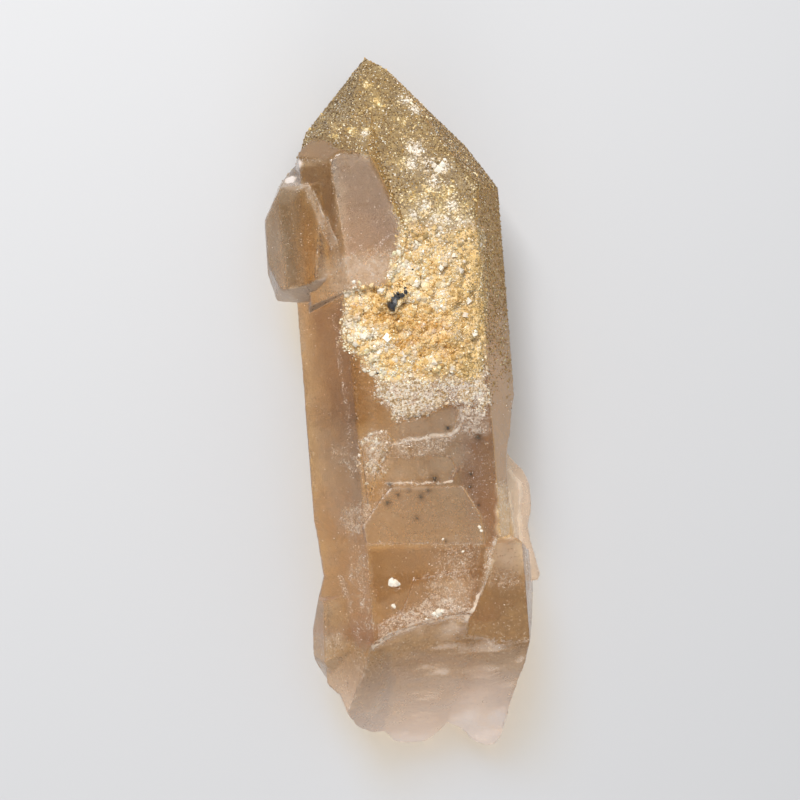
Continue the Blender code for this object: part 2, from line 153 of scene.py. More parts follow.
# white frosting on the faces, how strong and over how many mm it fades
frostPatches = {
    "under the crust": {"frost": 1.0, "soft": 3.0, "edge": [(-9.1, 8), (17.4, 6.5), (17, -2.5),
        (11.6, -1.8), (7.8, 0.4), (4.2, -1.3), (-1.6, -3.2), (-5.8, -2.6), (-10, 2.7)]},
    "right of the recess": {"frost": 0.7, "soft": 3.0, "edge": [(9.2, -1.4), (17, -2), (16.4, -8.5),
        (11.9, -9.9), (9.6, -7)]},
    "left apron": {"frost": 0.74, "soft": 3.5, "edge": [(-15.2, -8.5), (-12.8, -6), (-9.5, -5.5),
        (-7.3, -9.1), (-8.4, -12.4), (-9.2, -15.2), (-14.5, -18.4)]},
    "side face": {"frost": 0.09, "soft": 3.0, "edge": sideFace},
    "side belly": {"frost": 0.12, "soft": 3.0, "edge": [(-28, 54), (-22.5, 54), (-20.5, 46), (-20.5, 30),
        (-28, 30)]},
    "left apron spill": {"frost": 0.55, "soft": 3.0, "edge": [(-22, -9), (-17, -8), (-15, -14),
        (-17, -17)]},
    "under the recess": {"frost": 0.55, "soft": 2.0, "edge": [(-8.1, -9.4), (-3.1, -8.7), (2.6, -8.4),
        (6.8, -8.3), (8.9, -7.7), (7.4, -11.8), (6, -12.6), (-6.5, -12.9)]},
    "beside the window": {"frost": 0.2, "soft": 3.0, "edge": [(6.5, -12), (14.5, -10.5), (15, -24),
        (10.5, -22), (8, -17)]},
    "left of the plateau": {"frost": 0.62, "soft": 2.5, "edge": [(-20, -23.5), (-13, -21), (-9.5, -18.5),
        (-14.5, -26.5), (-16, -31), (-20.5, -30)]},
    "low shelf": {"frost": 0.58, "soft": 5.0, "edge": [(1.5, -34.3), (12.2, -34), (11.2, -41.2),
        (8.2, -50.9), (1.1, -50.5), (-6.1, -49.3), (-0.5, -41.4)]},
    "ledge fringe": {"frost": 0.82, "soft": 3.0, "edge": [(-15.6, -57.3), (-14.5, -53.5), (-10.1, -49.9),
        (-5.3, -47.9), (-0.8, -46.9), (3.7, -46.3), (8.4, -47.3), (8.8, -52.3), (3.9, -52.4),
        (-0.8, -52.9), (-5.2, -54), (-10, -54.9), (-13.7, -56.9)]},
    "left streaks": {"frost": 0.42, "soft": 3.0, "edge": [(-18.6, -31.3), (-15.6, -32.8), (-14.6, -38.9),
        (-14.6, -56), (-18.6, -54.1), (-18.9, -41.4)]},
    "swirl": {"frost": 0.5, "soft": 4.0, "edge": [(-17.1, 35.7), (-11.8, 37.2), (-4.8, 39.8),
        (-2.8, 34.8), (-6.7, 28.8), (-12, 28.6), (-15.9, 26.4), (-19.2, 27.7)]},
    "lower crystal line": {"frost": 0.42, "soft": 2.0, "edge": [(13.7, -41.5), (23, -42.6), (22.7, -46.7),
        (13.9, -46.2)]},
    "heel": {"frost": 0.4, "soft": 3.0, "edge": [(-26.6, -54.3), (-21.3, -54), (-21.6, -58.7),
        (-26.5, -59.4)]},
    "flake root": {"frost": 0.7, "soft": 2.0, "edge": [(18.2, -20), (22, -20), (23.5, -34.5),
        (17.5, -33.5)]},
    "above the plateau": {"frost": 0.22, "soft": 1.5, "edge": [(-9, -15.4), (-9, -18.4), (8, -20),
        (12, -26), (14.6, -36), (15.6, -30), (12, -20)]},
}
# bright healed lines and lips in the face, partly a painted highlight along the step edges: width in mm,
# strength and run in plan
frostLines = {
    "recess lip": {"width": 0.75, "frost": 0.62, "run": [(-7.6, -9.2), (-3.1, -8.4), (2.6, -8.1),
        (6.8, -8), (8.9, -7.3), (10.6, -4.5), (11.8, -2)]},
    "apron rim": {"width": 0.6, "frost": 0.46, "run": [(-14.8, -12), (-14.4, -8.4), (-12.3, -5.9),
        (-9.4, -5.4), (-7.4, -8.8)]},
    "window sill": {"width": 0.35, "frost": 0.7, "run": [(-9.6, -18.2), (-5.1, -18.8), (4.4, -19.6),
        (6.8, -19.2)]},
    "plateau foot": {"width": 0.3, "frost": 0.42, "run": [(-15.2, -32.6), (13.2, -35.2)]},
    "left edge": {"width": 0.5, "frost": 0.45, "run": [(-18.4, 23), (-17.6, 9), (-16.9, -6)]},
    "lower right ridge": {"width": 0.8, "frost": 0.6, "run": [(8.5, -52.6), (12.4, -45.5), (14.4, -39.1),
        (16.4, -34.2)]},
    "plateau left": {"width": 0.3, "frost": 0.4, "run": [(-8.8, -19.3), (-12.5, -23.5), (-16, -28)]},
    "plateau right": {"width": 0.3, "frost": 0.42, "run": [(6.2, -19.4), (9.1, -20.7), (13, -28),
        (14.2, -33.5)]},
    "flake fold": {"width": 0.5, "frost": 0.7, "run": [(25.8, -18.4), (28.5, -22), (27.2, -31.2),
        (27.6, -41.1)]},
    "flake edge": {"width": 0.4, "frost": 0.7, "run": [(25, -24), (25.7, -33.6), (26.4, -44)]},
    "ridge tip": {"width": 0.8, "frost": 0.75, "run": [(7.9, -53.2), (9.6, -50), (10.8, -47.6)]},
    "window rim": {"width": 0.3, "frost": 0.34, "run": [(-22.8, 61.6), (-16.5, 60.4), (-16.7, 41.5)]},
    "side ledge upper": {"width": 0.32, "frost": 0.62, "run": [(-26.4, 56), (-21.6, 55.4), (-18.8, 47.4),
        (-16.6, 39.7)]},
    "side ledge lower": {"width": 0.3, "frost": 0.5, "run": [(-25, 54.5), (-22.4, 54.1), (-20.8, 47.1),
        (-18.1, 38.8)]},
    "side crossing": {"width": 0.5, "frost": 0.42, "run": [(-15.9, 44.2), (-11.3, 38.1), (-9, 35.4)]},
    "side crossing back": {"width": 0.5, "frost": 0.42, "run": [(-3.8, 42), (-10.2, 35.1), (-13, 33.4)]},
    "side crossing low": {"width": 0.5, "frost": 0.5, "run": [(-20.5, 32), (-13.7, 36.8)]},
    "side foot line": {"width": 0.6, "frost": 0.5, "run": [(-10.3, 33.6), (-6.6, 29.2)]},
    "left fold": {"width": 0.45, "frost": 0.5, "run": [(-21.2, -40), (-20, -46), (-18.2, -55.9)]},
    "left fold inner": {"width": 0.35, "frost": 0.5, "run": [(-18.6, -36), (-18.9, -41), (-17.2, -47.5)]},
    "fringe line": {"width": 0.8, "frost": 0.7, "run": [(-15.4, -57.6), (-12.4, -55.6), (-9.8, -54.6),
        (-5.2, -53.6), (-0.8, -52.6), (3.9, -52), (8, -51.6)]},
}
# milky, faintly pink places where the stone is cloudy just under its face
hazePatches = {
    "plateau": {"haze": 0.55, "crisp": True, "soft": 0.7, "edge": plateau},
    "below the shelf edge": {"haze": -0.35, "soft": 2.5, "edge": [(-15.5, -35), (13.4, -36.6), (10, -41),
        (-2, -42), (-14, -44)]},
    "recess": {"haze": 0.2, "soft": 1.5, "edge": [(-8.5, -5.6), (-6.1, -9.1), (-2.5, -8), (7.1, -8),
        (8.5, -5.7), (10.1, -1.9), (7.2, -0.5), (3.8, -2.4), (-1.6, -2.7)]},
    "window": {"haze": 0.16, "soft": 1.5, "edge": [(-9.5, -18.2), (6.2, -19.4), (8, -16), (6.6, -13.2),
        (-9, -12), (-10.8, -15)]},
    "side face": {"haze": 0.06, "soft": 4.0, "edge": sideFace},
    "side foot": {"haze": 0.55, "soft": 3.0, "edge": [(-22, 37), (-3, 37), (-5, 28), (-22, 25)]},
    "side ledge": {"haze": 0.6, "crisp": True, "soft": 0.7, "edge": sideLedge},
    "break left": {"haze": 0.55, "soft": 4.0, "edge": [(-24, -57), (-13, -59), (-11, -70), (-16, -74),
        (-25, -66)]},
    "break valley": {"haze": 0.5, "soft": 3.0, "edge": [(7.4, -54), (13, -54), (14, -74), (8, -76)]},
    "right lobe": {"haze": 0.3, "soft": 5.0, "edge": [(6.7, -73.9), (12.9, -66.1), (19.6, -70.1),
        (23, -84.5), (14.9, -92.5), (8.8, -83.5)]},
    "left glow": {"haze": 0.25, "soft": 7.0, "edge": [(-24, -14), (-15, -12), (-14, -30), (-22, -31)]},
}
# deeper brown places of the stone, as a filter over the clear face; the right-looking end faces get painted
# shade here, and the side window and side face partly a painted dark reflection
smokeAndShadePatches = {
    "upper left face": {"smokeAndShade": 1.0, "soft": 6.0, "edge": [(-24, 27), (-15, 27), (-14.5, -2),
        (-22, -2)]},
    "lower left face": {"smokeAndShade": 0.3, "soft": 6.0, "edge": [(-26, 0), (-14, 0), (-13, -58), (-26, -58)]},
    "beside the crust": {"smokeAndShade": 0.45, "soft": 4.0, "edge": [(-18, 20), (-13, 12), (-8, 6), (-8, -4),
        (-17, -4)]},
    "dark band": {"smokeAndShade": 0.72, "crisp": True, "soft": 0.9, "edge": darkBand},
    "low shelf": {"smokeAndShade": 0.7, "soft": 4.0, "edge": [(-14, -42), (0, -42), (3, -50), (-12, -55)]},
    # partly painted dark reflection: the dark surroundings seen in the side window, over the stone's own
    # smoky brown
    "side window": {"smokeAndShade": 1.0, "soft": 1.0, "edge": [(-24.5, 60), (-16.6, 60.2), (-16.4, 41),
        (-18.6, 38), (-20.2, 50), (-22.4, 55)]},
    # partly painted dark reflection as well, over the stone's smoky brown
    "side face": {"smokeAndShade": 1.0, "soft": 5.0, "edge": sideFace},
    "side top": {"smokeAndShade": 1.0, "soft": 1.0, "edge": sideTop},
    "belly": {"smokeAndShade": 0.9, "soft": 4.0, "edge": [(-30, 52), (-22.5, 54), (-20, 46), (-20.5, 30),
        (-28, 30)]},
    "break top": {"smokeAndShade": 0.52, "soft": 9.0, "edge": [(-20, -57), (8, -53), (28, -56), (26, -68),
        (6, -66), (-18, -70)]},
    "plateau": {"smokeAndShade": 0.12, "crisp": True, "soft": 0.7, "edge": plateau},
    "lower crystal": {"smokeAndShade": 1.1, "soft": 5.0, "edge": [(13, -41), (25, -43), (26, -60), (6, -58)]},
    "heel": {"smokeAndShade": 0.28, "soft": 5.0, "edge": [(-29, -47), (-19, -47), (-15, -60), (-17, -72),
        (-28, -64)]},
}
# cloudier stone, where little is seen through it; one entry is a painted reflection of a window on the side
# crystal, laid in the same way
milkPatches = {
    "break": {"milk": 0.72, "soft": 3.0, "edge": [(-40, -53), (-22, -55), (-15.4, -57.6), (-9.8, -54.8),
        (-0.8, -52.8), (8.2, -52.2), (14, -54), (20, -50), (40, -50), (40, -120), (-40, -120)]},
    "lower crystal": {"milk": 0.42, "soft": 3.0, "edge": [(14, -38), (17, -35), (27, -35), (27, -54),
        (9, -54)]},
    "heel": {"milk": 0.4, "soft": 3.0, "edge": [(-28, -46), (-21, -46), (-19, -60), (-28, -60)]},
    "side face": {"milk": 0.08, "soft": 3.0, "edge": [(-15.5, 60.5), (-6, 60.5), (-1.5, 41), (-6, 28),
        (-20, 30)]},
    "side top": {"milk": 0.34, "soft": 1.0, "edge": sideTop},
    "plateau": {"milk": 0.34, "crisp": True, "soft": 0.7, "edge": plateau},
    "dark band": {"milk": 0.2, "soft": 1.6, "edge": darkBand},
    "low shelf": {"milk": 0.26, "soft": 3.0, "edge": [(-14, -42), (9, -42), (7, -50), (-12, -55)]},
    # painted reflection of a window on the side crystal
    "paintedGlint": {"milk": 0.95, "soft": 0.4, "edge": paintedGlint},
}
# paler, whiter parts of the thin edges, and the painted reflection of a window on the side crystal
palePatches = {
    "right lobe": {"pale": 0.22, "soft": 6.0, "edge": [(6.7, -74.9), (12.9, -67.1), (19.6, -70.1),
        (23, -84.5), (14.9, -92.5), (8.8, -83.5)]},
    "side ledge": {"pale": 0.3, "crisp": True, "soft": 0.7, "edge": sideLedge},
    # painted reflection of a window on the side crystal
    "paintedGlint": {"pale": 1.0, "crisp": True, "soft": 0.4, "edge": paintedGlint},
}
# the thin flake on the right: its outline and reach in plan, how high it lies and how pale it is
flakeSheet = {
    "edge": [(23.5, -12.5), (27.2, -12.5), (33, -19), (34.5, -48.6), (25.5, -49.5)],
    "low": 11.5, "high": 25.5, "inner": 23.5, "top": -12, "foot": -48, "pale": 0.64,
}
# small soft dark inclusions near the face, and the honey stain beside the flake
darkSpots = [
    ((-8.6, -18.9), 1), ((2.7, -18.4), 1.1), ((14, -9.1), 1.2), ((11.5, -17.9), 0.8), ((11, -21), 0.7),
    ((-9.6, -23.2), 0.9), ((-1.4, -22.2), 0.9), ((-4.2, -20.5), 0.6), ((-2.8, -27.4), 0.6),
    ((3.8, -33.5), 0.5), ((12.9, -25.6), 0.6), ((6.9, -6.3), 0.8), ((0.5, -21), 0.7),
    ((-7, -21.4), 0.7),
]
honeyStain = [(18, -21.5), (20.6, -21.5), (22.5, -28), (24.5, -34.7), (16.9, -34.5), (17, -29)]

body = {
    "fineEdge": 0.7,        # mm, longest mesh edge where the camera looks
    "coarseEdge": 1.7,      # mm, elsewhere
    "edgeWear": 0.22,       # mm taken off the sharp edges
    "edgeAngle": 18.0,      # degrees, from which an edge counts as sharp
    "hillocks": 0.05,       # mm, slow waves on the faces
    "striae": 0.035,        # mm, level growth lines across the prism faces
    "frostRelief": 0.13,    # mm
    "flakeRelief": 0.28,    # mm
    "crustRelief": 0.45,    # mm
    "breakRelief": 0.10,    # mm
    "refineSteps": 9,
    "breakStart": -52.0,    # mm, plan y where the broken base begins
    "absorbTint": (0.80, 0.625, 0.25),
    "absorbDensity": 37.5,
    "clearTint": (0.97, 0.89, 0.74),
    "smokeAndShadeTint": (0.42, 0.29, 0.16),
    "hazeTint": (0.46, 0.29, 0.135),
    "milkTint": (0.45, 0.268, 0.105),
    "milkDeep": (0.22, 0.125, 0.055),
    # painted shade colour for the faces that look right
    "rightWarmShadeTint": (0.62, 0.34, 0.08),
    "pitTint": (0.26, 0.145, 0.06),
    "paleTint": (0.86, 0.77, 0.72),
    "frostTint": (0.92, 0.81, 0.68),
    "dustTint": (0.88, 0.74, 0.56),
    "spotTint": (0.14, 0.09, 0.05),
    "stainTint": (0.95, 0.68, 0.34),
    "druseDark": (0.17, 0.10, 0.028),
    "druseTint": (0.38, 0.25, 0.08),
    "crustDark": (0.40, 0.23, 0.07),
    "crustMid": (0.80, 0.54, 0.20),
    "crustPale": (0.88, 0.64, 0.33),
    "ior": 1.544,
    "polish": 0.09,         # roughness of the bare faces
}
# how the layers spread over the body; starts and heights in mm
cover = {
    "wobble": 1.2,         # mm, how far the edges of the patches wander
    "wander": 1.4,         # mm, the same for the crust and the druse
    "crispShare": 0.35,    # part of the wobble that a crisp edge keeps
    "frontHeight": 22.0,   # z above which a place is on the front
    "crustFoot": 16,       # y below which the crust's edge frays
    "crustTop": 34.0,      # y above which it frays again
    "crustSoft": 2.6,
    "druseStart": 38.0,    # y where the druse of the end faces begins
    "druseReach": 34.0,    # length over which the right side's druse thins out
    "sideFoot": 15.0,      # y of the side crystal's foot
    "haze": 0.10,          # the three that lie over the whole stone
    "smokeAndShade": 0.07,
    "milk": 0.05,
    "breakHaze": 0.85,     # more towards the broken base
    "rightMilk": 0.6,      # on the faces that look right
}


def ease(values, start, width):
    # 0 up to the start, then rising to 1 over the width
    return np.clip((values - start) / width, 0, 1)


def segmentDistance(x, y, start, end):
    # distance in mm from each plan point to one straight piece of an outline
    (ax, ay), (bx, by) = start, end
    alongX, alongY = bx - ax, by - ay
    share = ((x - ax) * alongX + (y - ay) * alongY) / (alongX * alongX + alongY * alongY)
    share = np.clip(share, 0, 1)
    return np.hypot(x - ax - share * alongX, y - ay - share * alongY)


def signedDistance(points, outline):
    # distance in mm from each plan point to the outline, positive inside
    x, y = points[:, 0], points[:, 1]
    inside = np.zeros(len(points), bool)
    best = np.full(len(points), np.inf)
    for start, end in zip(outline, outline[1:] + outline[:1]):
        (ax, ay), (bx, by) = start, end
        if ay != by:
            inside ^= ((ay > y) != (by > y)) & (x < (bx - ax) * (y - ay) / (by - ay) + ax)
        best = np.minimum(best, segmentDistance(x, y, start, end))
    return np.where(inside, best, -best)


def softMask(points, outline, soft):
    return np.clip(0.5 + signedDistance(points, outline) / soft, 0, 1)


def lineMask(points, run, width):
    # 1 on a line through the plan points, fading out over its width
    x, y = points[:, 0], points[:, 1]
    best = np.min([segmentDistance(x, y, start, end) for start, end in zip(run, run[1:])], axis=0)
    return np.clip(1.5 - best / width, 0, 1)


def nearness(spots, places):
    # 1 at any of the plan places, fading out over the reach of each
    near = np.zeros(len(spots))
    for (x, y), wide in places:
        apart = (spots[:, 0] - x) ** 2 + (spots[:, 1] - y) ** 2
        near = np.maximum(near, np.exp(-apart / (wide * wide)))
    return near


def patchMask(patch, plan, slight):
    # a crisp patch keeps to its outline, the others wander
    return softMask(slight if "crisp" in patch else plan, patch["edge"], patch["soft"])


def noiseAt(points, size, seed):
    # smooth noise from -1 to 1 whose lumps are about size mm
    shift = Vector((seed, seed * 1.7, seed * 0.3))
    return np.array([noise.noise(Vector(place) / size + shift) for place in points])


def noisePair(points, size, seeds, reach):
    # a wandering in plan, in mm
    return np.stack([noiseAt(points, size, seed) for seed in seeds], axis=1) * reach


def refineMesh(bm):
    bmesh.ops.remove_doubles(bm, verts=bm.verts, dist=1e-6)
    bmesh.ops.triangulate(bm, faces=bm.faces)
    for step in range(body["refineSteps"]):
        longEdges = []
        for edge in bm.edges:
            middle = (edge.verts[0].co + edge.verts[1].co) / 2
            faceUp = max((face.normal.z for face in edge.link_faces), default=0)
            limit = body["fineEdge"] if faceUp > 0.15 or middle.y < -0.08 else body["coarseEdge"]
            if edge.calc_length() > limit * mm * 1.35:
                longEdges.append(edge)
        if not longEdges:
            break
        bmesh.ops.subdivide_edges(bm, edges=longEdges, cuts=1)
        bmesh.ops.triangulate(bm, faces=[face for face in bm.faces if len(face.verts) > 3])
        paired = [edge for edge in bm.edges if len(edge.link_faces) == 2]
        flat = [edge for edge in paired if edge.calc_face_angle(1.0) < 0.001]
        bmesh.ops.beautify_fill(bm, faces=bm.faces[:], edges=flat)
    bm.normal_update()
    print("body refined in", step, "steps to", len(bm.faces), "triangles")


def readBody(bm):
    bm.verts.ensure_lookup_table()
    points = np.array([vert.co for vert in bm.verts]) / mm
    normals = np.array([vert.normal for vert in bm.verts])
    return points, normals


def surfaceMasks(points, normals):
    # where the crust, the druse, the frosting and the stone's colours lie, 0 to 1 for each vertex
    x, y = points[:, 0], points[:, 1]
    wobble = noisePair(points, 2.6, (3.0, 9.0), cover["wobble"])
    wander = noisePair(points, 6.0, (23.0, 29.0), cover["wander"])
    plan = points[:, :2] + wobble
    slight = points[:, :2] + wobble * cover["crispShare"]
    up = ease(normals[:, 2], 0.15, 0.3)
    onFront = (points[:, 2] > cover["frontHeight"]) | (y < 0)
    # crust and druse
    side = softMask(plan, sideCrystalRim, 1.0)
    fray = 1.0 * (y < cover["crustFoot"]) + 1.7 * ease(y, cover["crustTop"], 4.0) * (x > 2.0)
    crust = softMask(plan + wander * fray[:, None], crustOutline, cover["crustSoft"]) * up
    bare = 1 - crust
    ends = ease(normals[:, 1], 0.22, 0.1) * ease(y, cover["druseStart"], 3.0)
    ends = np.maximum(ends, up * ease(y, cover["druseStart"] + 0.5, 3.0))
    thinning = ease(y + 2.0 + 7.0 * wander[:, 0], 0.0, cover["druseReach"])
    druse = np.maximum(ends, ease(normals[:, 0], 0.5, 0.2) * thinning)
    druse *= 1 - side * ease(normals[:, 2], -0.3, 0.2) * (x < 6.0)
    # frosting and healed lines
    frost = np.zeros(len(points))
    for patch in frostPatches.values():
        frost = np.maximum(frost, patch["frost"] * softMask(plan, patch["edge"], patch["soft"]) * up)
    lines = np.zeros(len(points))
    for line in frostLines.values():
        lines = np.maximum(lines, line["frost"] * lineMask(slight, line["run"], line["width"]) * up)
    # haze, smoke, pale edges and milk
    overhang = ease(-normals[:, 1], 0.35, 0.2) * (y > cover["sideFoot"])
    belly = ease(-x, 23.5, 2.0) * (y > cover["sideFoot"])
    level = (points[:, 2] > flakeSheet["low"]) & (points[:, 2] < flakeSheet["high"])
    flake = softMask(points[:, :2], flakeSheet["edge"], 1.5) * level
    haze = cover["haze"] + 0.16 * noiseAt(points, 9.0, 17.0) + 0.12 * noiseAt(points, 3.0, 19.0)
    haze += 0.5 * overhang
    for patch in hazePatches.values():
        haze += patch["haze"] * patchMask(patch, plan, slight) * up
    haze += cover["breakHaze"] * ease(-y, 60.0, 24.0) ** 1.2
    haze += 0.45 * flake
    haze += 0.30 * belly
    smokeAndShade = cover["smokeAndShade"] + 0.16 * noiseAt(points, 7.0, 37.0)
    for patch in smokeAndShadePatches.values():
        smokeAndShade += patch["smokeAndShade"] * patchMask(patch, plan, slight) * (normals[:, 2] > 0.02)
    # painted shade: the end faces that look right, past x 12, are darkened with the smoky brown filter
    smokeAndShade = np.maximum(smokeAndShade, 0.9 * ends * (normals[:, 0] > 0.25) * (x > 12))
    pale = 0.25 * overhang + 0.5 * lines + flakeSheet["pale"] * flake + ease(-y, 59.0, 26.0) ** 1.1
    for patch in palePatches.values():
        pale += patch["pale"] * patchMask(patch, plan, slight) * onFront
    rightward = ease(normals[:, 0], 0.35, 0.3)
    milk = cover["milk"] + 0.55 * overhang + 0.34 * belly + 0.3 * flake
    milk += cover["rightMilk"] * rightward * (y > -50)
    for patch in milkPatches.values():
        milk = np.maximum(milk, patch["milk"] * patchMask(patch, plan, slight) * onFront)
    masks = {
        "crust": crust, "druse": druse * bare, "frost": frost * bare, "line": lines * bare,
        "haze": haze, "smokeAndShade": smokeAndShade, "pale": pale, "milk": milk,
        "spot": nearness(points, darkSpots) * up,
        "stain": softMask(plan, honeyStain, 2.2) * up,
        "arc": ease(-y, 58.0, 8.0) * up,
        # painted shade on the faces that look right
        "rightWarmShade": rightward * ease(y, -48.0, 20.0) * (1 - flake),
    }
    return {name: np.clip(mask, 0, 1) for name, mask in masks.items()}


def shapeBody(bm, points, normals, masks):
    # growth lines, frosting, crust grain and wear on the sharp edges, all as real relief; the sharp edges
    # also get a painted highlight, laid in as extra haze and frost
    x, y = points[:, 0], points[:, 1]
    broken = ease(-y, -body["breakStart"], 3.0) * (np.abs(normals[:, 2]) < 0.97)
    smooth = (1 - masks["crust"]) * (1 - broken)
    rise = body["hillocks"] * noiseAt(points, 9.0, 1.0) * smooth
    acrossFaces = points * np.array((0.12, 1.0, 0.12))
    rise += body["striae"] * noiseAt(acrossFaces, 0.9, 5.0) * smooth
    rise += body["frostRelief"] * noiseAt(points, 1.2, 7.0) * masks["frost"]
    thin = (x > flakeSheet["inner"]) & (y < flakeSheet["top"]) & (y > flakeSheet["foot"])
    alongFlake = points * np.array((1.6, 0.5, 1.0))
    rise += body["flakeRelief"] * noiseAt(alongFlake, 2.6, 12.0) * thin
    lumps = noiseAt(points, 1.5, 2.0) + 0.5 * noiseAt(points, 0.8, 4.0)
    rise += body["crustRelief"] * lumps * masks["crust"]
    shell = noiseAt(points * np.array((0.35, 1.0, 1.0)), 2.2, 6.0) + 0.7 * noiseAt(points, 6.0, 8.0)
    rise += body["breakRelief"] * shell * broken
    sharp = math.radians(body["edgeAngle"])
    wornAndLitEdges = np.zeros(len(points))
    for edge in bm.edges:
        if len(edge.link_faces) == 2 and edge.calc_face_angle_signed(0.0) > sharp:
            for vert in edge.verts:
                wornAndLitEdges[vert.index] = 1.0
    wornAndLitEdges *= 0.55 + 0.9 * np.abs(noiseAt(points, 1.6, 11.0))
    # painted highlight along the sharp edges, over their real frosted wear: extra haze and frost
    masks["haze"] = np.clip(masks["haze"] + wornAndLitEdges * 0.5, 0, 1)
    masks["frost"] = np.clip(masks["frost"] + wornAndLitEdges * 0.22, 0, 1)
    resting = points[:, 2] < 0.05
    rise = np.where(resting, 0.0, rise - wornAndLitEdges * body["edgeWear"])
    moved = (points + normals * rise[:, None]) * mm
    moved[:, 2] = np.maximum(moved[:, 2], 0.0)
    for vert, place in zip(bm.verts, moved):
        vert.co = place
    bm.normal_update()


# noise of the stone's surface: waves in a metre, detail, roughness and distortion
stoneNoise = {
    "speck": (1700.0, 4.0, 0.7, 0.0),
    "fine": (750.0, 6.0, 0.72, 0.6),
    "coarse": (240.0, 6.0, 0.68, 0.8),
    "cloudy": (85.0, 4.0, 0.6, 0.7),
}
# how far each layer hides the clear stone
clouding = {"frost": 0.62, "haze": 0.46, "milk": 0.85, "specks": 0.34, "stain": 0.6, "pale": 0.8,
            "druse": 0.80, "crust": 0.85}
# fine arcs spreading down the break from the ledge
breakArcs = {"centre": (0.009, -0.047, 0.036), "scale": 210.0, "twist": 7.0, "detail": 4.0,
             "detailScale": 1.6, "strength": 0.34}


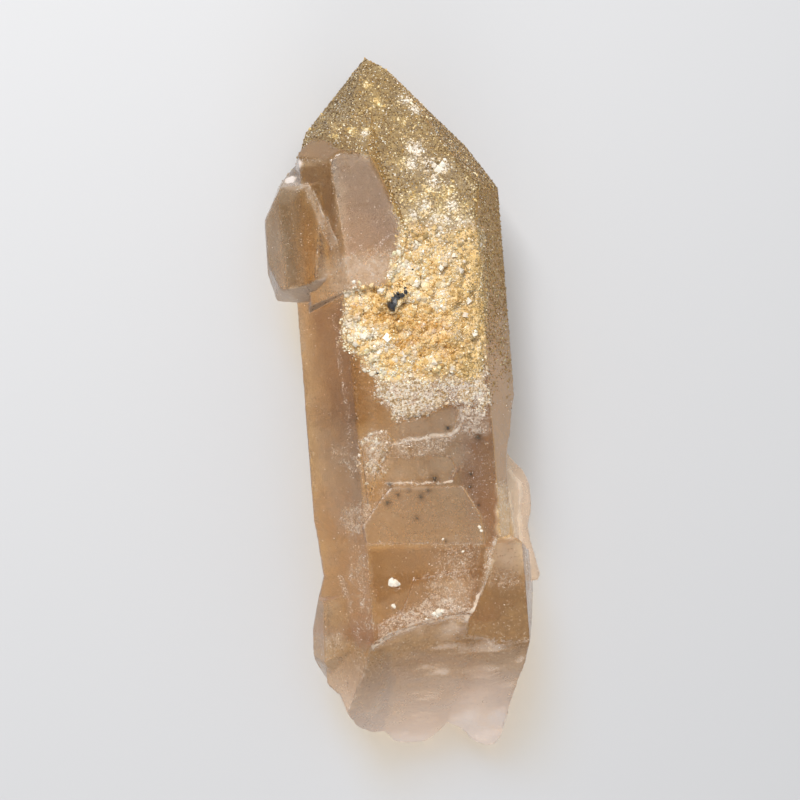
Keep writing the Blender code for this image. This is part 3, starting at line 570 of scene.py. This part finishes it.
def makeCitrine():
    # clear smoky quartz: plain transmission and absorption, duller and paler where it is frosted
    material, nodes, links = newMaterial("citrine")
    shader = nodes["Principled BSDF"]
    output = nodes["Material Output"]
    place = nodes.new("ShaderNodeTexCoord").outputs["Object"]

    def noiseTexture(scale, detail, roughness, distortion):
        made = nodes.new("ShaderNodeTexNoise")
        made.inputs["Scale"].default_value = scale
        made.inputs["Detail"].default_value = detail
        made.inputs["Roughness"].default_value = roughness
        made.inputs["Distortion"].default_value = distortion
        links.new(place, made.inputs["Vector"])
        return made.outputs[0]

    def attribute(name):
        made = nodes.new("ShaderNodeAttribute")
        made.attribute_name = name
        return made.outputs["Fac"]

    def maths(operation, first, second=0.5, clamp=False):
        made = nodes.new("ShaderNodeMath")
        made.operation = operation
        made.use_clamp = clamp
        for slot, item in zip(made.inputs, (first, second)):
            if isinstance(item, (int, float)):
                slot.default_value = item
            else:
                links.new(item, slot)
        return made.outputs[0]

    def times(first, second, clamp=False):
        return maths("MULTIPLY", first, second, clamp)

    def plus(first, second, clamp=False):
        return maths("ADD", first, second, clamp)

    def most(first, *others):
        for item in others:
            first = maths("MAXIMUM", first, item)
        return first

    def swing(source, strength):
        # either side of zero about the noise's middle value
        return times(maths("SUBTRACT", source, 0.5), strength)

    def mixed(factor, first, second):
        made = nodes.new("ShaderNodeMix")
        made.data_type = "RGBA"
        for name, item in (("Factor", factor), ("A", first), ("B", second)):
            slots = [one for one in made.inputs if one.name == name and one.enabled]
            slot = slots[0] if name == "Factor" else slots[-1]
            if isinstance(item, tuple):
                slot.default_value = (*item, 1)
            else:
                links.new(item, slot)
        return [one for one in made.outputs if one.enabled][0]

    def ramp(source, low, high):
        # 0 at low, 1 at high, eased in between
        made = nodes.new("ShaderNodeMapRange")
        made.interpolation_type = "SMOOTHSTEP"
        made.inputs["From Min"].default_value = low
        made.inputs["From Max"].default_value = high
        links.new(source, made.inputs["Value"])
        return made.outputs[0]

    speck, fine, coarse, cloudy = (noiseTexture(*settings) for settings in stoneNoise.values())
    patch = attribute("frost")
    ragged = plus(plus(swing(fine, 1.8), swing(speck, 2.2)), swing(coarse, 1.2))
    ragged = times(ragged, times(patch, 3.0, clamp=True))
    frost = ramp(plus(times(patch, 0.62), ragged), 0.10, 1.10)
    # feathery threads: the thin places where a twisted noise crosses its middle value
    thread = ramp(maths("ABSOLUTE", maths("SUBTRACT", fine, 0.5)), 0.035, 0.0)
    thread = most(thread, ramp(maths("ABSOLUTE", maths("SUBTRACT", coarse, 0.52)), 0.02, 0.0))
    frost = times(plus(times(frost, 0.6), times(speck, 0.5)), frost)
    frost = plus(frost, times(thread, times(patch, 0.75)), clamp=True)
    frost = most(frost, ramp(plus(attribute("line"), swing(fine, 0.8)), 0.38, 0.8))
    offset = nodes.new("ShaderNodeVectorMath")
    offset.operation = "SUBTRACT"
    offset.inputs[1].default_value = breakArcs["centre"]
    links.new(place, offset.inputs[0])
    arcs = nodes.new("ShaderNodeTexWave")
    arcs.wave_type = "RINGS"
    arcs.rings_direction = "SPHERICAL"
    arcs.inputs["Scale"].default_value = breakArcs["scale"]
    arcs.inputs["Distortion"].default_value = breakArcs["twist"]
    arcs.inputs["Detail"].default_value = breakArcs["detail"]
    arcs.inputs["Detail Scale"].default_value = breakArcs["detailScale"]
    links.new(offset.outputs[0], arcs.inputs["Vector"])
    arcPlaces = times(attribute("arc"), ramp(cloudy, 0.48, 0.64))
    arcLines = times(ramp(arcs.outputs["Fac"], 0.80, 1.0), arcPlaces)
    frost = most(frost, times(arcLines, breakArcs["strength"]))
    dust = ramp(speck, 0.57, 0.66)
    pits = ramp(speck, 0.43, 0.34)
    haze = plus(attribute("haze"), plus(swing(cloudy, 1.1), swing(coarse, 0.5)), clamp=True)
    haze = times(haze, plus(times(speck, 0.9), 0.55), clamp=True)
    smokeAndShade, pale, milk = attribute("smokeAndShade"), attribute("pale"), attribute("milk")
    druse, crust = attribute("druse"), attribute("crust")
    # colours, from the clear stone up to the crust
    tint = mixed(smokeAndShade, body["clearTint"], body["smokeAndShadeTint"])
    tint = mixed(haze, tint, mixed(pale, body["hazeTint"], body["paleTint"]))
    milk = times(milk, plus(times(coarse, 0.5), 0.75), clamp=True)
    deep = plus(times(smokeAndShade, 0.7), swing(fine, -2.4), clamp=True)
    milky = mixed(pale, mixed(deep, body["milkTint"], body["milkDeep"]), body["paleTint"])
    tint = mixed(milk, tint, milky)
    pits = times(pits, maths("SUBTRACT", 1.0, pale, clamp=True))
    tint = mixed(times(pits, 0.6), tint, body["pitTint"])
    tint = mixed(times(dust, 0.5), tint, body["dustTint"])
    tint = mixed(frost, tint, body["frostTint"])
    grained = mixed(ramp(fine, 0.40, 0.62), body["druseDark"], body["druseTint"])
    grained = mixed(times(smokeAndShade, 0.7), grained, body["druseDark"])
    tint = mixed(times(druse, 0.92), tint, grained)
    # painted shade: a warm, darker brown on the faces that look right
    tint = mixed(times(attribute("rightWarmShade"), 0.7), tint, body["rightWarmShadeTint"])
    tint = mixed(times(attribute("spot"), 0.85), tint, body["spotTint"])
    tint = mixed(attribute("stain"), tint, body["stainTint"])
    warm = mixed(ramp(coarse, 0.35, 0.50), body["crustDark"], body["crustMid"])
    warm = mixed(ramp(fine, 0.45, 0.62), warm, body["crustPale"])
    links.new(mixed(crust, tint, warm), shader.inputs["Base Color"])
    dull = plus(times(haze, 0.30), body["polish"])
    links.new(plus(dull, times(most(frost, crust, druse), 0.30)), shader.inputs["Roughness"])
    layers = {"frost": frost, "haze": haze, "milk": milk, "specks": most(dust, pits),
              "stain": attribute("stain"), "pale": times(pale, haze), "druse": druse, "crust": crust}
    opaque = most(*(times(layer, clouding[name]) for name, layer in layers.items()))
    links.new(maths("SUBTRACT", 0.98, opaque, clamp=True), shader.inputs["Transmission Weight"])
    shader.inputs["IOR"].default_value = body["ior"]
    bump = nodes.new("ShaderNodeBump")
    bump.inputs["Strength"].default_value = 0.4
    bump.inputs["Distance"].default_value = 0.0002
    height = plus(plus(times(fine, 0.6), coarse), times(frost, 0.5))
    links.new(height, bump.inputs["Height"])
    links.new(bump.outputs["Normal"], shader.inputs["Normal"])
    depth = nodes.new("ShaderNodeVolumeAbsorption")
    depth.inputs["Color"].default_value = (*body["absorbTint"], 1)
    depth.inputs["Density"].default_value = body["absorbDensity"]
    links.new(depth.outputs[0], output.inputs["Volume"])
    # lamp rays go straight through, so the stone lights its own inside and the table under it
    rays = nodes.new("ShaderNodeLightPath")
    clear = nodes.new("ShaderNodeBsdfTransparent")
    blend = nodes.new("ShaderNodeMixShader")
    links.new(rays.outputs["Is Shadow Ray"], blend.inputs[0])
    links.new(shader.outputs[0], blend.inputs[1])
    links.new(clear.outputs[0], blend.inputs[2])
    links.new(blend.outputs[0], output.inputs["Surface"])
    return material


def makeBody():
    bm = bmesh.new()
    bm.from_mesh(node.data)
    refineMesh(bm)
    points, normals = readBody(bm)
    masks = surfaceMasks(points, normals)
    shapeBody(bm, points, normals, masks)
    mesh = bpy.data.meshes.new("crystalBody")
    bm.to_mesh(mesh)
    bm.free()
    for name, values in masks.items():
        layer = mesh.attributes.new(name, "FLOAT", "POINT")
        layer.data.foreach_set("value", values.astype(np.float32))
    mesh.shade_smooth()
    mesh.set_sharp_from_angle(angle=math.radians(16))
    mesh.materials.clear()
    mesh.materials.append(makeCitrine())
    item = bpy.data.objects.new("crystalBody", mesh)
    bpy.context.collection.objects.link(item)
    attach(item, "root")
    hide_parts("crystal_point")
    print("body made with", len(mesh.polygons), "triangles")
    return item, masks


def bodyArrays():
    # places in mm, triangle corners and normals of the finished body
    mesh = crystalBody.data
    mesh.calc_loop_triangles()
    corners = np.empty(len(mesh.loop_triangles) * 3, np.int32)
    mesh.loop_triangles.foreach_get("vertices", corners)
    places = np.empty(len(mesh.vertices) * 3)
    mesh.vertices.foreach_get("co", places)
    normals = np.empty(len(mesh.vertices) * 3)
    mesh.vertices.foreach_get("normal", normals)
    return places.reshape(-1, 3) / mm, corners.reshape(-1, 3), normals.reshape(-1, 3)


crystalBody, bodyMasks = makeBody()
bodyPoints, bodyCorners, bodyNormals = bodyArrays()


def scatter(weights, count, seed):
    # points and normals spread over the body in proportion to area and to a weight per vertex
    draw = np.random.default_rng(seed)
    a, b, c = (bodyPoints[bodyCorners[:, step]] for step in range(3))
    cross = np.cross(b - a, c - a)
    area = np.linalg.norm(cross, axis=1) / 2
    share = area * weights[bodyCorners].mean(axis=1)
    picked = draw.choice(len(share), count, p=share / share.sum())
    u, v = draw.random(count), draw.random(count)
    over = u + v > 1
    u[over], v[over] = 1 - u[over], 1 - v[over]
    spots = a[picked] + (b - a)[picked] * u[:, None] + (c - a)[picked] * v[:, None]
    normals = cross[picked] / np.linalg.norm(cross[picked], axis=1)[:, None]
    return spots, normals


def dropOn(places):
    # the body point and normal straight under each plan place, with the size that goes with it
    spots, normals, sizes = [], [], []
    for (x, y), size in places:
        hit, place, normal, face = crystalBody.ray_cast(Vector((x, y, 100.0)) * mm, Vector((0, 0, -1)))
        if hit:
            spots.append(np.array(place) / mm)
            normals.append(np.array(normal))
            sizes.append(size)
    return np.array(spots), np.array(normals), np.array(sizes)


def bipyramid():
    turns = [math.radians(60 * side) for side in range(6)]
    ring = [(math.cos(turn), math.sin(turn), 0.0) for turn in turns]
    points = np.array(ring + [(0, 0, 1.15), (0, 0, -1.15)])
    faces = [(side, (side + 1) % 6, 6) for side in range(6)]
    faces += [((side + 1) % 6, side, 7) for side in range(6)]
    return points, np.array(faces)


def octahedron():
    points = np.array([(1, 0, 0), (0, 1, 0), (-1, 0, 0), (0, -1, 0), (0, 0, 1), (0, 0, -1)], float)
    faces = [(0, 1, 4), (1, 2, 4), (2, 3, 4), (3, 0, 4), (1, 0, 5), (2, 1, 5), (3, 2, 5), (0, 3, 5)]
    return points, np.array(faces)


def pebble():
    bm = bmesh.new()
    bmesh.ops.create_icosphere(bm, subdivisions=1, radius=1.0)
    points = np.array([vert.co for vert in bm.verts])
    faces = np.array([[vert.index for vert in face.verts] for face in bm.faces])
    bm.free()
    return points, faces


def block():
    points = np.array([(x, y, z) for x in (-0.7, 0.7) for y in (-0.7, 0.7) for z in (-0.7, 0.7)])
    faces = [(0, 1, 3), (0, 3, 2), (4, 6, 7), (4, 7, 5), (0, 4, 5), (0, 5, 1),
             (2, 3, 7), (2, 7, 6), (0, 2, 6), (0, 6, 4), (1, 5, 7), (1, 7, 3)]
    return points, np.array(faces)


def randomTurns(draw, normals, tumble):
    # each grain stands along the surface normal, spun about it and tipped by chance
    axis = normals + draw.normal(0, tumble, normals.shape)
    axis /= np.linalg.norm(axis, axis=1)[:, None]
    spin = draw.normal(size=normals.shape)
    side = np.cross(axis, spin)
    side /= np.linalg.norm(side, axis=1)[:, None]
    return np.stack([side, np.cross(axis, side), axis], axis=2)


def growGrains(name, template, where, tints, seed, finish, sink, tumble, jitter=0.0, stretch=0.25):
    # one flat shaded mesh of many small closed grains, a tint kept for each; where holds their spots,
    # normals and sizes, finish what makeGrainMaterial takes, sink the part of its size a grain is pushed in
    draw = np.random.default_rng(seed)
    points, faces = template
    spots, normals, sizes = where
    count = len(spots)
    scale = sizes[:, None] * (1 + draw.uniform(-stretch, stretch, (count, 3)))
    shapes = np.repeat(points[None], count, axis=0) * scale[:, None, :]
    shapes *= 1 + draw.uniform(-jitter, jitter, (count, len(points), 1))
    turns = randomTurns(draw, normals, tumble)
    placed = np.einsum("nij,nkj->nki", turns, shapes)
    placed += (spots - normals * (sizes * sink)[:, None])[:, None, :]
    placed[:, :, 2] = np.maximum(placed[:, :, 2], 0.02)
    allFaces = (faces[None] + (np.arange(count) * len(points))[:, None, None]).reshape(-1, 3)
    mesh = bpy.data.meshes.new(name)
    mesh.from_pydata((placed.reshape(-1, 3) * mm).tolist(), [], allFaces.tolist())
    colour = mesh.color_attributes.new("grainTint", "FLOAT_COLOR", "POINT")
    wide = np.repeat(np.hstack([tints, np.ones((count, 1))]), len(points), axis=0)
    colour.data.foreach_set("color", wide.astype(np.float32).ravel())
    mesh.materials.append(makeGrainMaterial(*finish))
    item = bpy.data.objects.new(name, mesh)
    bpy.context.collection.objects.link(item)
    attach(item, "root")
    print(name, count, "grains", len(mesh.polygons), "triangles")


def makeGrainMaterial(name, rough, clear, shine, speckle=0.3):
    material, nodes, links = newMaterial(name)
    shader = nodes["Principled BSDF"]
    tint = nodes.new("ShaderNodeAttribute")
    tint.attribute_name = "grainTint"
    spots = nodes.new("ShaderNodeTexNoise")
    spots.inputs["Scale"].default_value = 1400.0
    spots.inputs["Detail"].default_value = 3.0
    place = nodes.new("ShaderNodeTexCoord")
    links.new(place.outputs["Object"], spots.inputs["Vector"])
    level = nodes.new("ShaderNodeMapRange")
    level.inputs["To Min"].default_value = 1 - speckle
    level.inputs["To Max"].default_value = 1 + speckle
    links.new(spots.outputs[0], level.inputs["Value"])
    blend = nodes.new("ShaderNodeVectorMath")
    blend.operation = "SCALE"
    links.new(tint.outputs["Color"], blend.inputs[0])
    links.new(level.outputs[0], blend.inputs["Scale"])
    links.new(blend.outputs[0], shader.inputs["Base Color"])
    shader.inputs["Roughness"].default_value = rough
    shader.inputs["Transmission Weight"].default_value = clear
    shader.inputs["IOR"].default_value = body["ior"]
    shader.inputs["Specular IOR Level"].default_value = shine
    return material


def spreadTints(draw, choices, count, scatterBy=0.10):
    # each choice is a colour and how often it turns up
    colours = np.array([colour for colour, often in choices])
    odds = np.array([often for colour, often in choices], float)
    picked = colours[draw.choice(len(colours), count, p=odds / odds.sum())]
    return np.clip(picked * (1 + draw.normal(0, scatterBy, (count, 1))), 0, 1)


def sizesBetween(draw, limits, count, lean=2.2):
    low, high = limits
    return low + (high - low) * draw.random(count) ** lean


druseGrain = {
    "tipCount": 15500,     # on the end faces the camera sees
    "hiddenCount": 3000,   # on the end faces behind
    "rightCount": 9000,    # thinner, down the right faces
    "radius": (0.10, 0.29),  # mm
    "clumpCount": 1100,    # rounder clumps among them
    "clumpRadius": (0.15, 0.50),
    "golds": [((0.29, 0.175, 0.063), 5), ((0.40, 0.265, 0.105), 4), ((0.165, 0.095, 0.032), 5),
              ((0.90, 0.72, 0.40), 1.1), ((0.98, 0.92, 0.78), 0.8), ((0.50, 0.28, 0.06), 0.7)],
    "browns": [((0.36, 0.20, 0.055), 5), ((0.48, 0.29, 0.09), 4), ((0.62, 0.41, 0.14), 2.5),
               ((0.97, 0.80, 0.46), 1.2)],
    "clumps": [((0.80, 0.58, 0.25), 3), ((0.94, 0.79, 0.50), 2.5), ((0.60, 0.39, 0.13), 2.5)],
    "goldPatch": (0.94, 0.74, 0.36),
    "whitePatch": (0.98, 0.92, 0.80),
}
# richer gold and whiter places in the druse, in plan with the reach of each
goldClumps = [
    ((-9.3, 67.8), 1.2), ((-5.6, 68.2), 1.2), ((-14.1, 66.6), 1), ((4.1, 70.2), 1.4), ((2.2, 59.1), 2),
    ((10.6, 50.2), 2.2), ((12.5, 51.5), 1.8), ((15.4, 47), 1.8), ((-2.6, 81), 1.2), ((-1, 76), 1.6),
    ((3, 50), 2), ((9, 45), 2.6), ((1.5, 44), 2.2), ((7, 52), 2.2), ((5.5, 46.5), 2.6), ((13.5, 45), 3),
    ((9.5, 47.5), 2.6),
]
whiteClumps = [
    ((5.8, 62.5), 2.6), ((4.4, 58.9), 2), ((8.4, 58.2), 2.2), ((11.4, 57.6), 2), ((6.4, 76.2), 1.6),
    ((8, 73.6), 1.4), ((9, 54), 2), ((5.6, 48), 1.8), ((-6.5, 67), 1), ((12.5, 47.5), 1.6),
    ((2.5, 46), 1.5), ((7.5, 44.5), 1.8), ((10.5, 44), 1.6), ((14.5, 43), 1.8),
]


def makeDruse():
    # fine sparkling gold grains over the end faces, thinner down the right side
    draw = np.random.default_rng(21)
    facing = bodyNormals[:, 2] > 0.1
    onEnds = bodyMasks["druse"] * (bodyNormals[:, 1] > 0.2)
    onRight = bodyMasks["druse"] * (bodyNormals[:, 1] <= 0.2)
    golds, browns = druseGrain["golds"], druseGrain["browns"]
    hidden = (onEnds * ~facing, druseGrain["hiddenCount"], browns, 1.3)
    right = (onRight, druseGrain["rightCount"], browns, 1.15)
    groups = {"goldDruse": (31, [(onEnds * facing, druseGrain["tipCount"], golds, 1.0)]),
              "brownDruse": (35, [hidden, right])}
    for name, (seed, wanted) in groups.items():
        parts = []
        for weights, count, choices, size in wanted:
            spots, normals = scatter(weights, count, seed + len(parts))
            sizes = sizesBetween(draw, druseGrain["radius"], count) * size
            tints = spreadTints(draw, choices, count)
            # painted shade: grains on faces that look left, and on right-looking faces past x 12, get darker
            # tints
            shade = np.where(normals[:, 0] < -0.25, 0.64, 1.0)
            shade = np.where((normals[:, 0] > 0.25) & (spots[:, 0] > 12), 0.7, shade)
            tints *= shade[:, None]
            for clumps, colour in ((goldClumps, druseGrain["goldPatch"]),
                                   (whiteClumps, druseGrain["whitePatch"])):
                rich = nearness(spots, clumps) * (normals[:, 2] > 0.4) * draw.uniform(0.0, 1.0, count)
                pale = np.array(colour) * draw.uniform(0.8, 1.05, (count, 1))
                tints = np.clip(tints + (pale - tints) * np.clip(rich, 0, 0.9)[:, None], 0, 1)
                sizes *= 1 + 0.6 * rich
            parts.append((spots, normals, sizes, tints))
        spots, normals, sizes, tints = (np.concatenate(part) for part in zip(*parts))
        growGrains(name, bipyramid(), (spots, normals, sizes), tints, 5, (name, 0.22, 0.12, 0.6),
                   sink=0.15, tumble=0.45)
    count = druseGrain["clumpCount"]
    close = np.maximum(nearness(bodyPoints, goldClumps) ** 2, nearness(bodyPoints, whiteClumps) ** 2)
    spots, normals = scatter(onEnds * facing * (close + 0.015), count, 39)
    sizes = sizesBetween(draw, druseGrain["clumpRadius"], count, 2.6)
    pale = nearness(spots, whiteClumps)[:, None]
    tints = spreadTints(draw, druseGrain["clumps"], count)
    tints += (np.array((0.96, 0.88, 0.78)) - tints) * pale
    growGrains("druseClumps", pebble(), (spots, normals, sizes), tints, 19, ("druseClumps", 0.34, 0.15, 0.6),
               sink=0.15, tumble=0.8, jitter=0.25)


crustGrain = {
    "grainCount": 15500,   # sharp little grains
    "grainRadius": (0.12, 0.42),  # mm
    "lumpCount": 1500,     # rounder lumps among them
    "lumpRadius": (0.28, 0.85),
    "scale": [(0.99, 0.88, 0.72), (0.99, 0.84, 0.60), (0.96, 0.76, 0.44), (0.90, 0.63, 0.27),
              (0.76, 0.45, 0.14), (0.46, 0.27, 0.09)],  # from the palest grain to the brownest
    "orange": (0.68, 0.34, 0.06),
    "olive": (0.52, 0.35, 0.13),
    "blocks": [((0.98, 0.92, 0.80), 3), ((0.96, 0.85, 0.70), 2)],
}
# orange staining with its reach, then the larger pale blocks and chips with their sizes
orangeSpots = [
    ((1.2, 17.4), 5), ((-14.1, 24), 2.2), ((0.7, 7.7), 1.4), ((3.1, 40.6), 1.8), ((-8, 21.4), 2.6),
    ((8.5, 12.5), 2.8), ((-3.6, 14.6), 2.2), ((-4.6, 21.2), 2), ((4.5, 44.5), 2.6), ((6, 17), 3.8),
]
whiteBlocks = [
    ((-7, 28.1), 1), ((-2.7, 12.3), 1.2), ((-6.8, 16.5), 1.3), ((8.5, 8.1), 1.1), ((11.5, 35.3), 0.7),
    ((7.8, 32.6), 0.7), ((12.7, 31.4), 0.8), ((14.4, 24.2), 1), ((14.6, 15.7), 0.8), ((3.4, 28.6), 0.7),
    ((-12.6, 17.4), 0.9), ((-8.8, 13.2), 0.9), ((13.2, 20.6), 0.7), ((4.2, 9.6), 0.9),
    ((10.4, 57.2), 0.8),
]
paleChips = [
    ((-10.2, -42.3), 1.05), ((-9.2, -42.6), 0.95), ((-8.4, -43), 0.7), ((-10.2, -48), 0.6),
    ((-9.7, -48.3), 0.4), ((-0.4, -50.9), 0.8), ((0.6, -50.6), 0.95), ((1.6, -50.4), 0.8),
    ((0.4, -51.4), 0.6), ((-13.8, 30.5), 0.6), ((12.4, -30.9), 0.55), ((12.7, -31.8), 0.6),
    ((-2.4, -51.9), 0.4), ((3.2, -33), 0.35), ((8, -36.5), 0.4), ((10.2, 57), 1.2), ((11.5, 58.2), 1.15),
    ((9.3, 58), 0.8), ((12.6, 59.4), 0.7),
]
# the black mineral in the crust, lobe by lobe, and specks of the same
darkLobes = [
    ((-5.1, 23.8), 1.4), ((-4.2, 24.8), 1.35), ((-3.3, 25.8), 1.1), ((-2.4, 26.4), 0.8),
    ((-1.6, 27.2), 0.6), ((-1.3, 28.1), 0.42), ((-3.2, 27), 0.45),
]
darkDots = [
    ((0.9, 32.4), 0.35), ((-12.1, 26.6), 0.3), ((-12.3, 27.2), 0.2), ((-4.1, 27), 0.25),
    ((15.3, 27.8), 0.22), ((-9.4, 8.3), 0.3), ((0.9, 40.8), 0.35), ((6.9, -6.3), 0.3),
]


def crustTints(draw, spots):
    # from white through cream and yellow to brown, neighbouring grains alike
    x, y = spots[:, 0], spots[:, 1]
    count = len(spots)
    scale = np.array(crustGrain["scale"])
    zone = 0.48 + 0.55 * noiseAt(spots, 3.4, 51.0) + 0.35 * noiseAt(spots, 1.3, 53.0)
    zone += draw.normal(0, 0.17, count)
    zone -= 0.22 * ease(y, 26.0, 10.0) + 0.3 * ease(-y, -12.0, 5.0)
    zone -= 0.30 * ease(-x, 9.0, 5.0)
    step = np.clip(zone, 0, 0.999) * (len(scale) - 1)
    lower = step.astype(int)
    tints = scale[lower] + (scale[lower + 1] - scale[lower]) * (step - lower)[:, None]
    tints *= 1 + draw.normal(0, 0.09, (count, 1))
    amount = nearness(spots, orangeSpots) * draw.uniform(0.2, 1.2, count)
    amount *= 0.75 + noiseAt(spots, 1.6, 57.0)
    tints += (np.array(crustGrain["orange"]) - tints) * np.clip(amount, 0, 0.9)[:, None]
    olive = ease(x, 7.0, 7.0) * (draw.random(count) < 0.75)
    olive = np.maximum(olive, ease(y, 32.0, 9.0) * (draw.random(count) < 0.5))
    olives = np.array(crustGrain["olive"]) * draw.uniform(0.5, 1.5, (count, 1))
    tints += (olives - tints) * olive[:, None] * 0.85
    return np.clip(tints, 0, 1)


def makeCrust():
    # the cream, yellow and orange crust under the end faces: fine sharp grains, rounder lumps among them
    draw = np.random.default_rng(41)
    weights = bodyMasks["crust"] * (0.6 + 0.8 * np.clip(noiseAt(bodyPoints, 2.4, 13.0) + 0.3, 0, 1))
    count = crustGrain["grainCount"]
    spots, normals = scatter(weights, count, 43)
    swell = 0.75 + 0.5 * (0.5 + 0.5 * noiseAt(spots, 3.0, 13.0))
    sizes = sizesBetween(draw, crustGrain["grainRadius"], count, 2.4) * swell
    sizes *= 1 - 0.3 * ease(spots[:, 0], 8.0, 6.0)
    growGrains("crustGrains", bipyramid(), (spots, normals, sizes), crustTints(draw, spots), 7,
               ("crustGrain", 0.26, 0.22, 0.7), sink=0.0, tumble=0.9, jitter=0.2, stretch=0.35)
    count = crustGrain["lumpCount"]
    weights = bodyMasks["crust"] * np.clip(noiseAt(bodyPoints, 4.0, 33.0) * 2 + 0.4, 0.08, 1)
    weights *= nearness(bodyPoints, [(spot, reach + 1.2) for spot, reach in darkLobes]) < 0.35
    spots, normals = scatter(weights, count, 47)
    sizes = sizesBetween(draw, crustGrain["lumpRadius"], count, 2.6)
    sizes *= 1 - 0.35 * ease(spots[:, 0], 8.0, 6.0)
    growGrains("crustLumps", pebble(), (spots, normals, sizes), crustTints(draw, spots), 17,
               ("crustLump", 0.3, 0.26, 0.7), sink=0.2, tumble=0.8, jitter=0.25, stretch=0.3)
    for name, places, shape, jitter in (("paleBlocks", whiteBlocks, block(), 0.3),
                                        ("paleChips", paleChips, pebble(), 0.16)):
        where = dropOn(places)
        pale = spreadTints(draw, crustGrain["blocks"], len(where[0]), 0.03)
        growGrains(name, shape, where, pale, 8, (name, 0.4, 0.15, 0.5), sink=0.35, tumble=0.3,
                   jitter=jitter, stretch=0.3)


frostGrain = {
    "iceCount": 4400,      # white translucent grains under the crust and on the left apron
    "iceRadius": (0.10, 0.46),  # mm
    "iceTints": [((0.98, 0.87, 0.73), 4), ((0.90, 0.72, 0.50), 3), ((0.56, 0.37, 0.18), 3.5)],
    "sugarCount": 12000,   # much smaller ones over the frosted faces and lines
    "sugarRadius": (0.05, 0.15),
    "sugarTints": [((0.97, 0.94, 0.90), 4), ((0.92, 0.84, 0.72), 2)],
}


def makeSugar():
    # white translucent grains on the frosted places, then much smaller ones over the faces
    draw = np.random.default_rng(51)
    heavy = softMask(bodyPoints, frostPatches["under the crust"]["edge"], 3.0)
    apron = softMask(bodyPoints, frostPatches["left apron"]["edge"], 3.0)
    weights = np.maximum(heavy, 0.12 * apron) * (0.3 + noiseAt(bodyPoints, 2.0, 61.0))
    weights = np.clip(weights, 0, 1) * bodyMasks["frost"] * (bodyNormals[:, 2] > 0.1)
    count = frostGrain["iceCount"]
    spots, normals = scatter(weights, count, 63)
    sizes = sizesBetween(draw, frostGrain["iceRadius"], count, 2.2)
    tints = spreadTints(draw, frostGrain["iceTints"], count, 0.05)
    growGrains("iceGrains", bipyramid(), (spots, normals, sizes), tints, 27, ("iceGrain", 0.3, 0.35, 0.6),
               sink=0.25, tumble=0.9, jitter=0.2)
    facing = np.clip(bodyNormals[:, 2] * 2, 0, 1)
    weights = (bodyMasks["frost"] ** 1.8 + bodyMasks["line"] + 0.012) * facing
    weights *= (1 - bodyMasks["crust"]) * (1 - bodyMasks["druse"]) * (bodyPoints[:, 1] > -62)
    spots, normals = scatter(weights, frostGrain["sugarCount"], 53)
    keep = noiseAt(spots, 1.8, 15.0) > -0.15
    spots, normals = spots[keep], normals[keep]
    sizes = sizesBetween(draw, frostGrain["sugarRadius"], len(spots), 2.5)
    tints = spreadTints(draw, frostGrain["sugarTints"], len(spots), 0.04)
    growGrains("frostSugar", octahedron(), (spots, normals, sizes), tints, 9, ("sugarGrain", 0.3, 0.3, 0.6),
               sink=0.1, tumble=0.9)


# share is the part of each place's reach that a grain takes up, sink how far it is pushed in
darkMineral = {
    "darkGrain": {"places": darkLobes + darkDots, "share": 1.0, "sink": -0.25,
                  "tint": (0.022, 0.022, 0.026)},
    "darkInclusions": {"places": darkSpots, "share": 0.5, "sink": 1.5, "tint": (0.09, 0.055, 0.02)},
}


def makeDark():
    # the small black mineral grown in the crust with a few specks of it, and the ones just under the face
    for name, mineral in darkMineral.items():
        spots, normals, sizes = dropOn(mineral["places"])
        tints = np.full((len(spots), 3), mineral["tint"])
        growGrains(name, pebble(), (spots, normals, sizes * mineral["share"]), tints, 11,
                   (name, 0.3, 0.0, 0.7, 0.6), sink=mineral["sink"], tumble=0.8, jitter=0.25)


makeDruse()
makeCrust()
makeSugar()
makeDark()
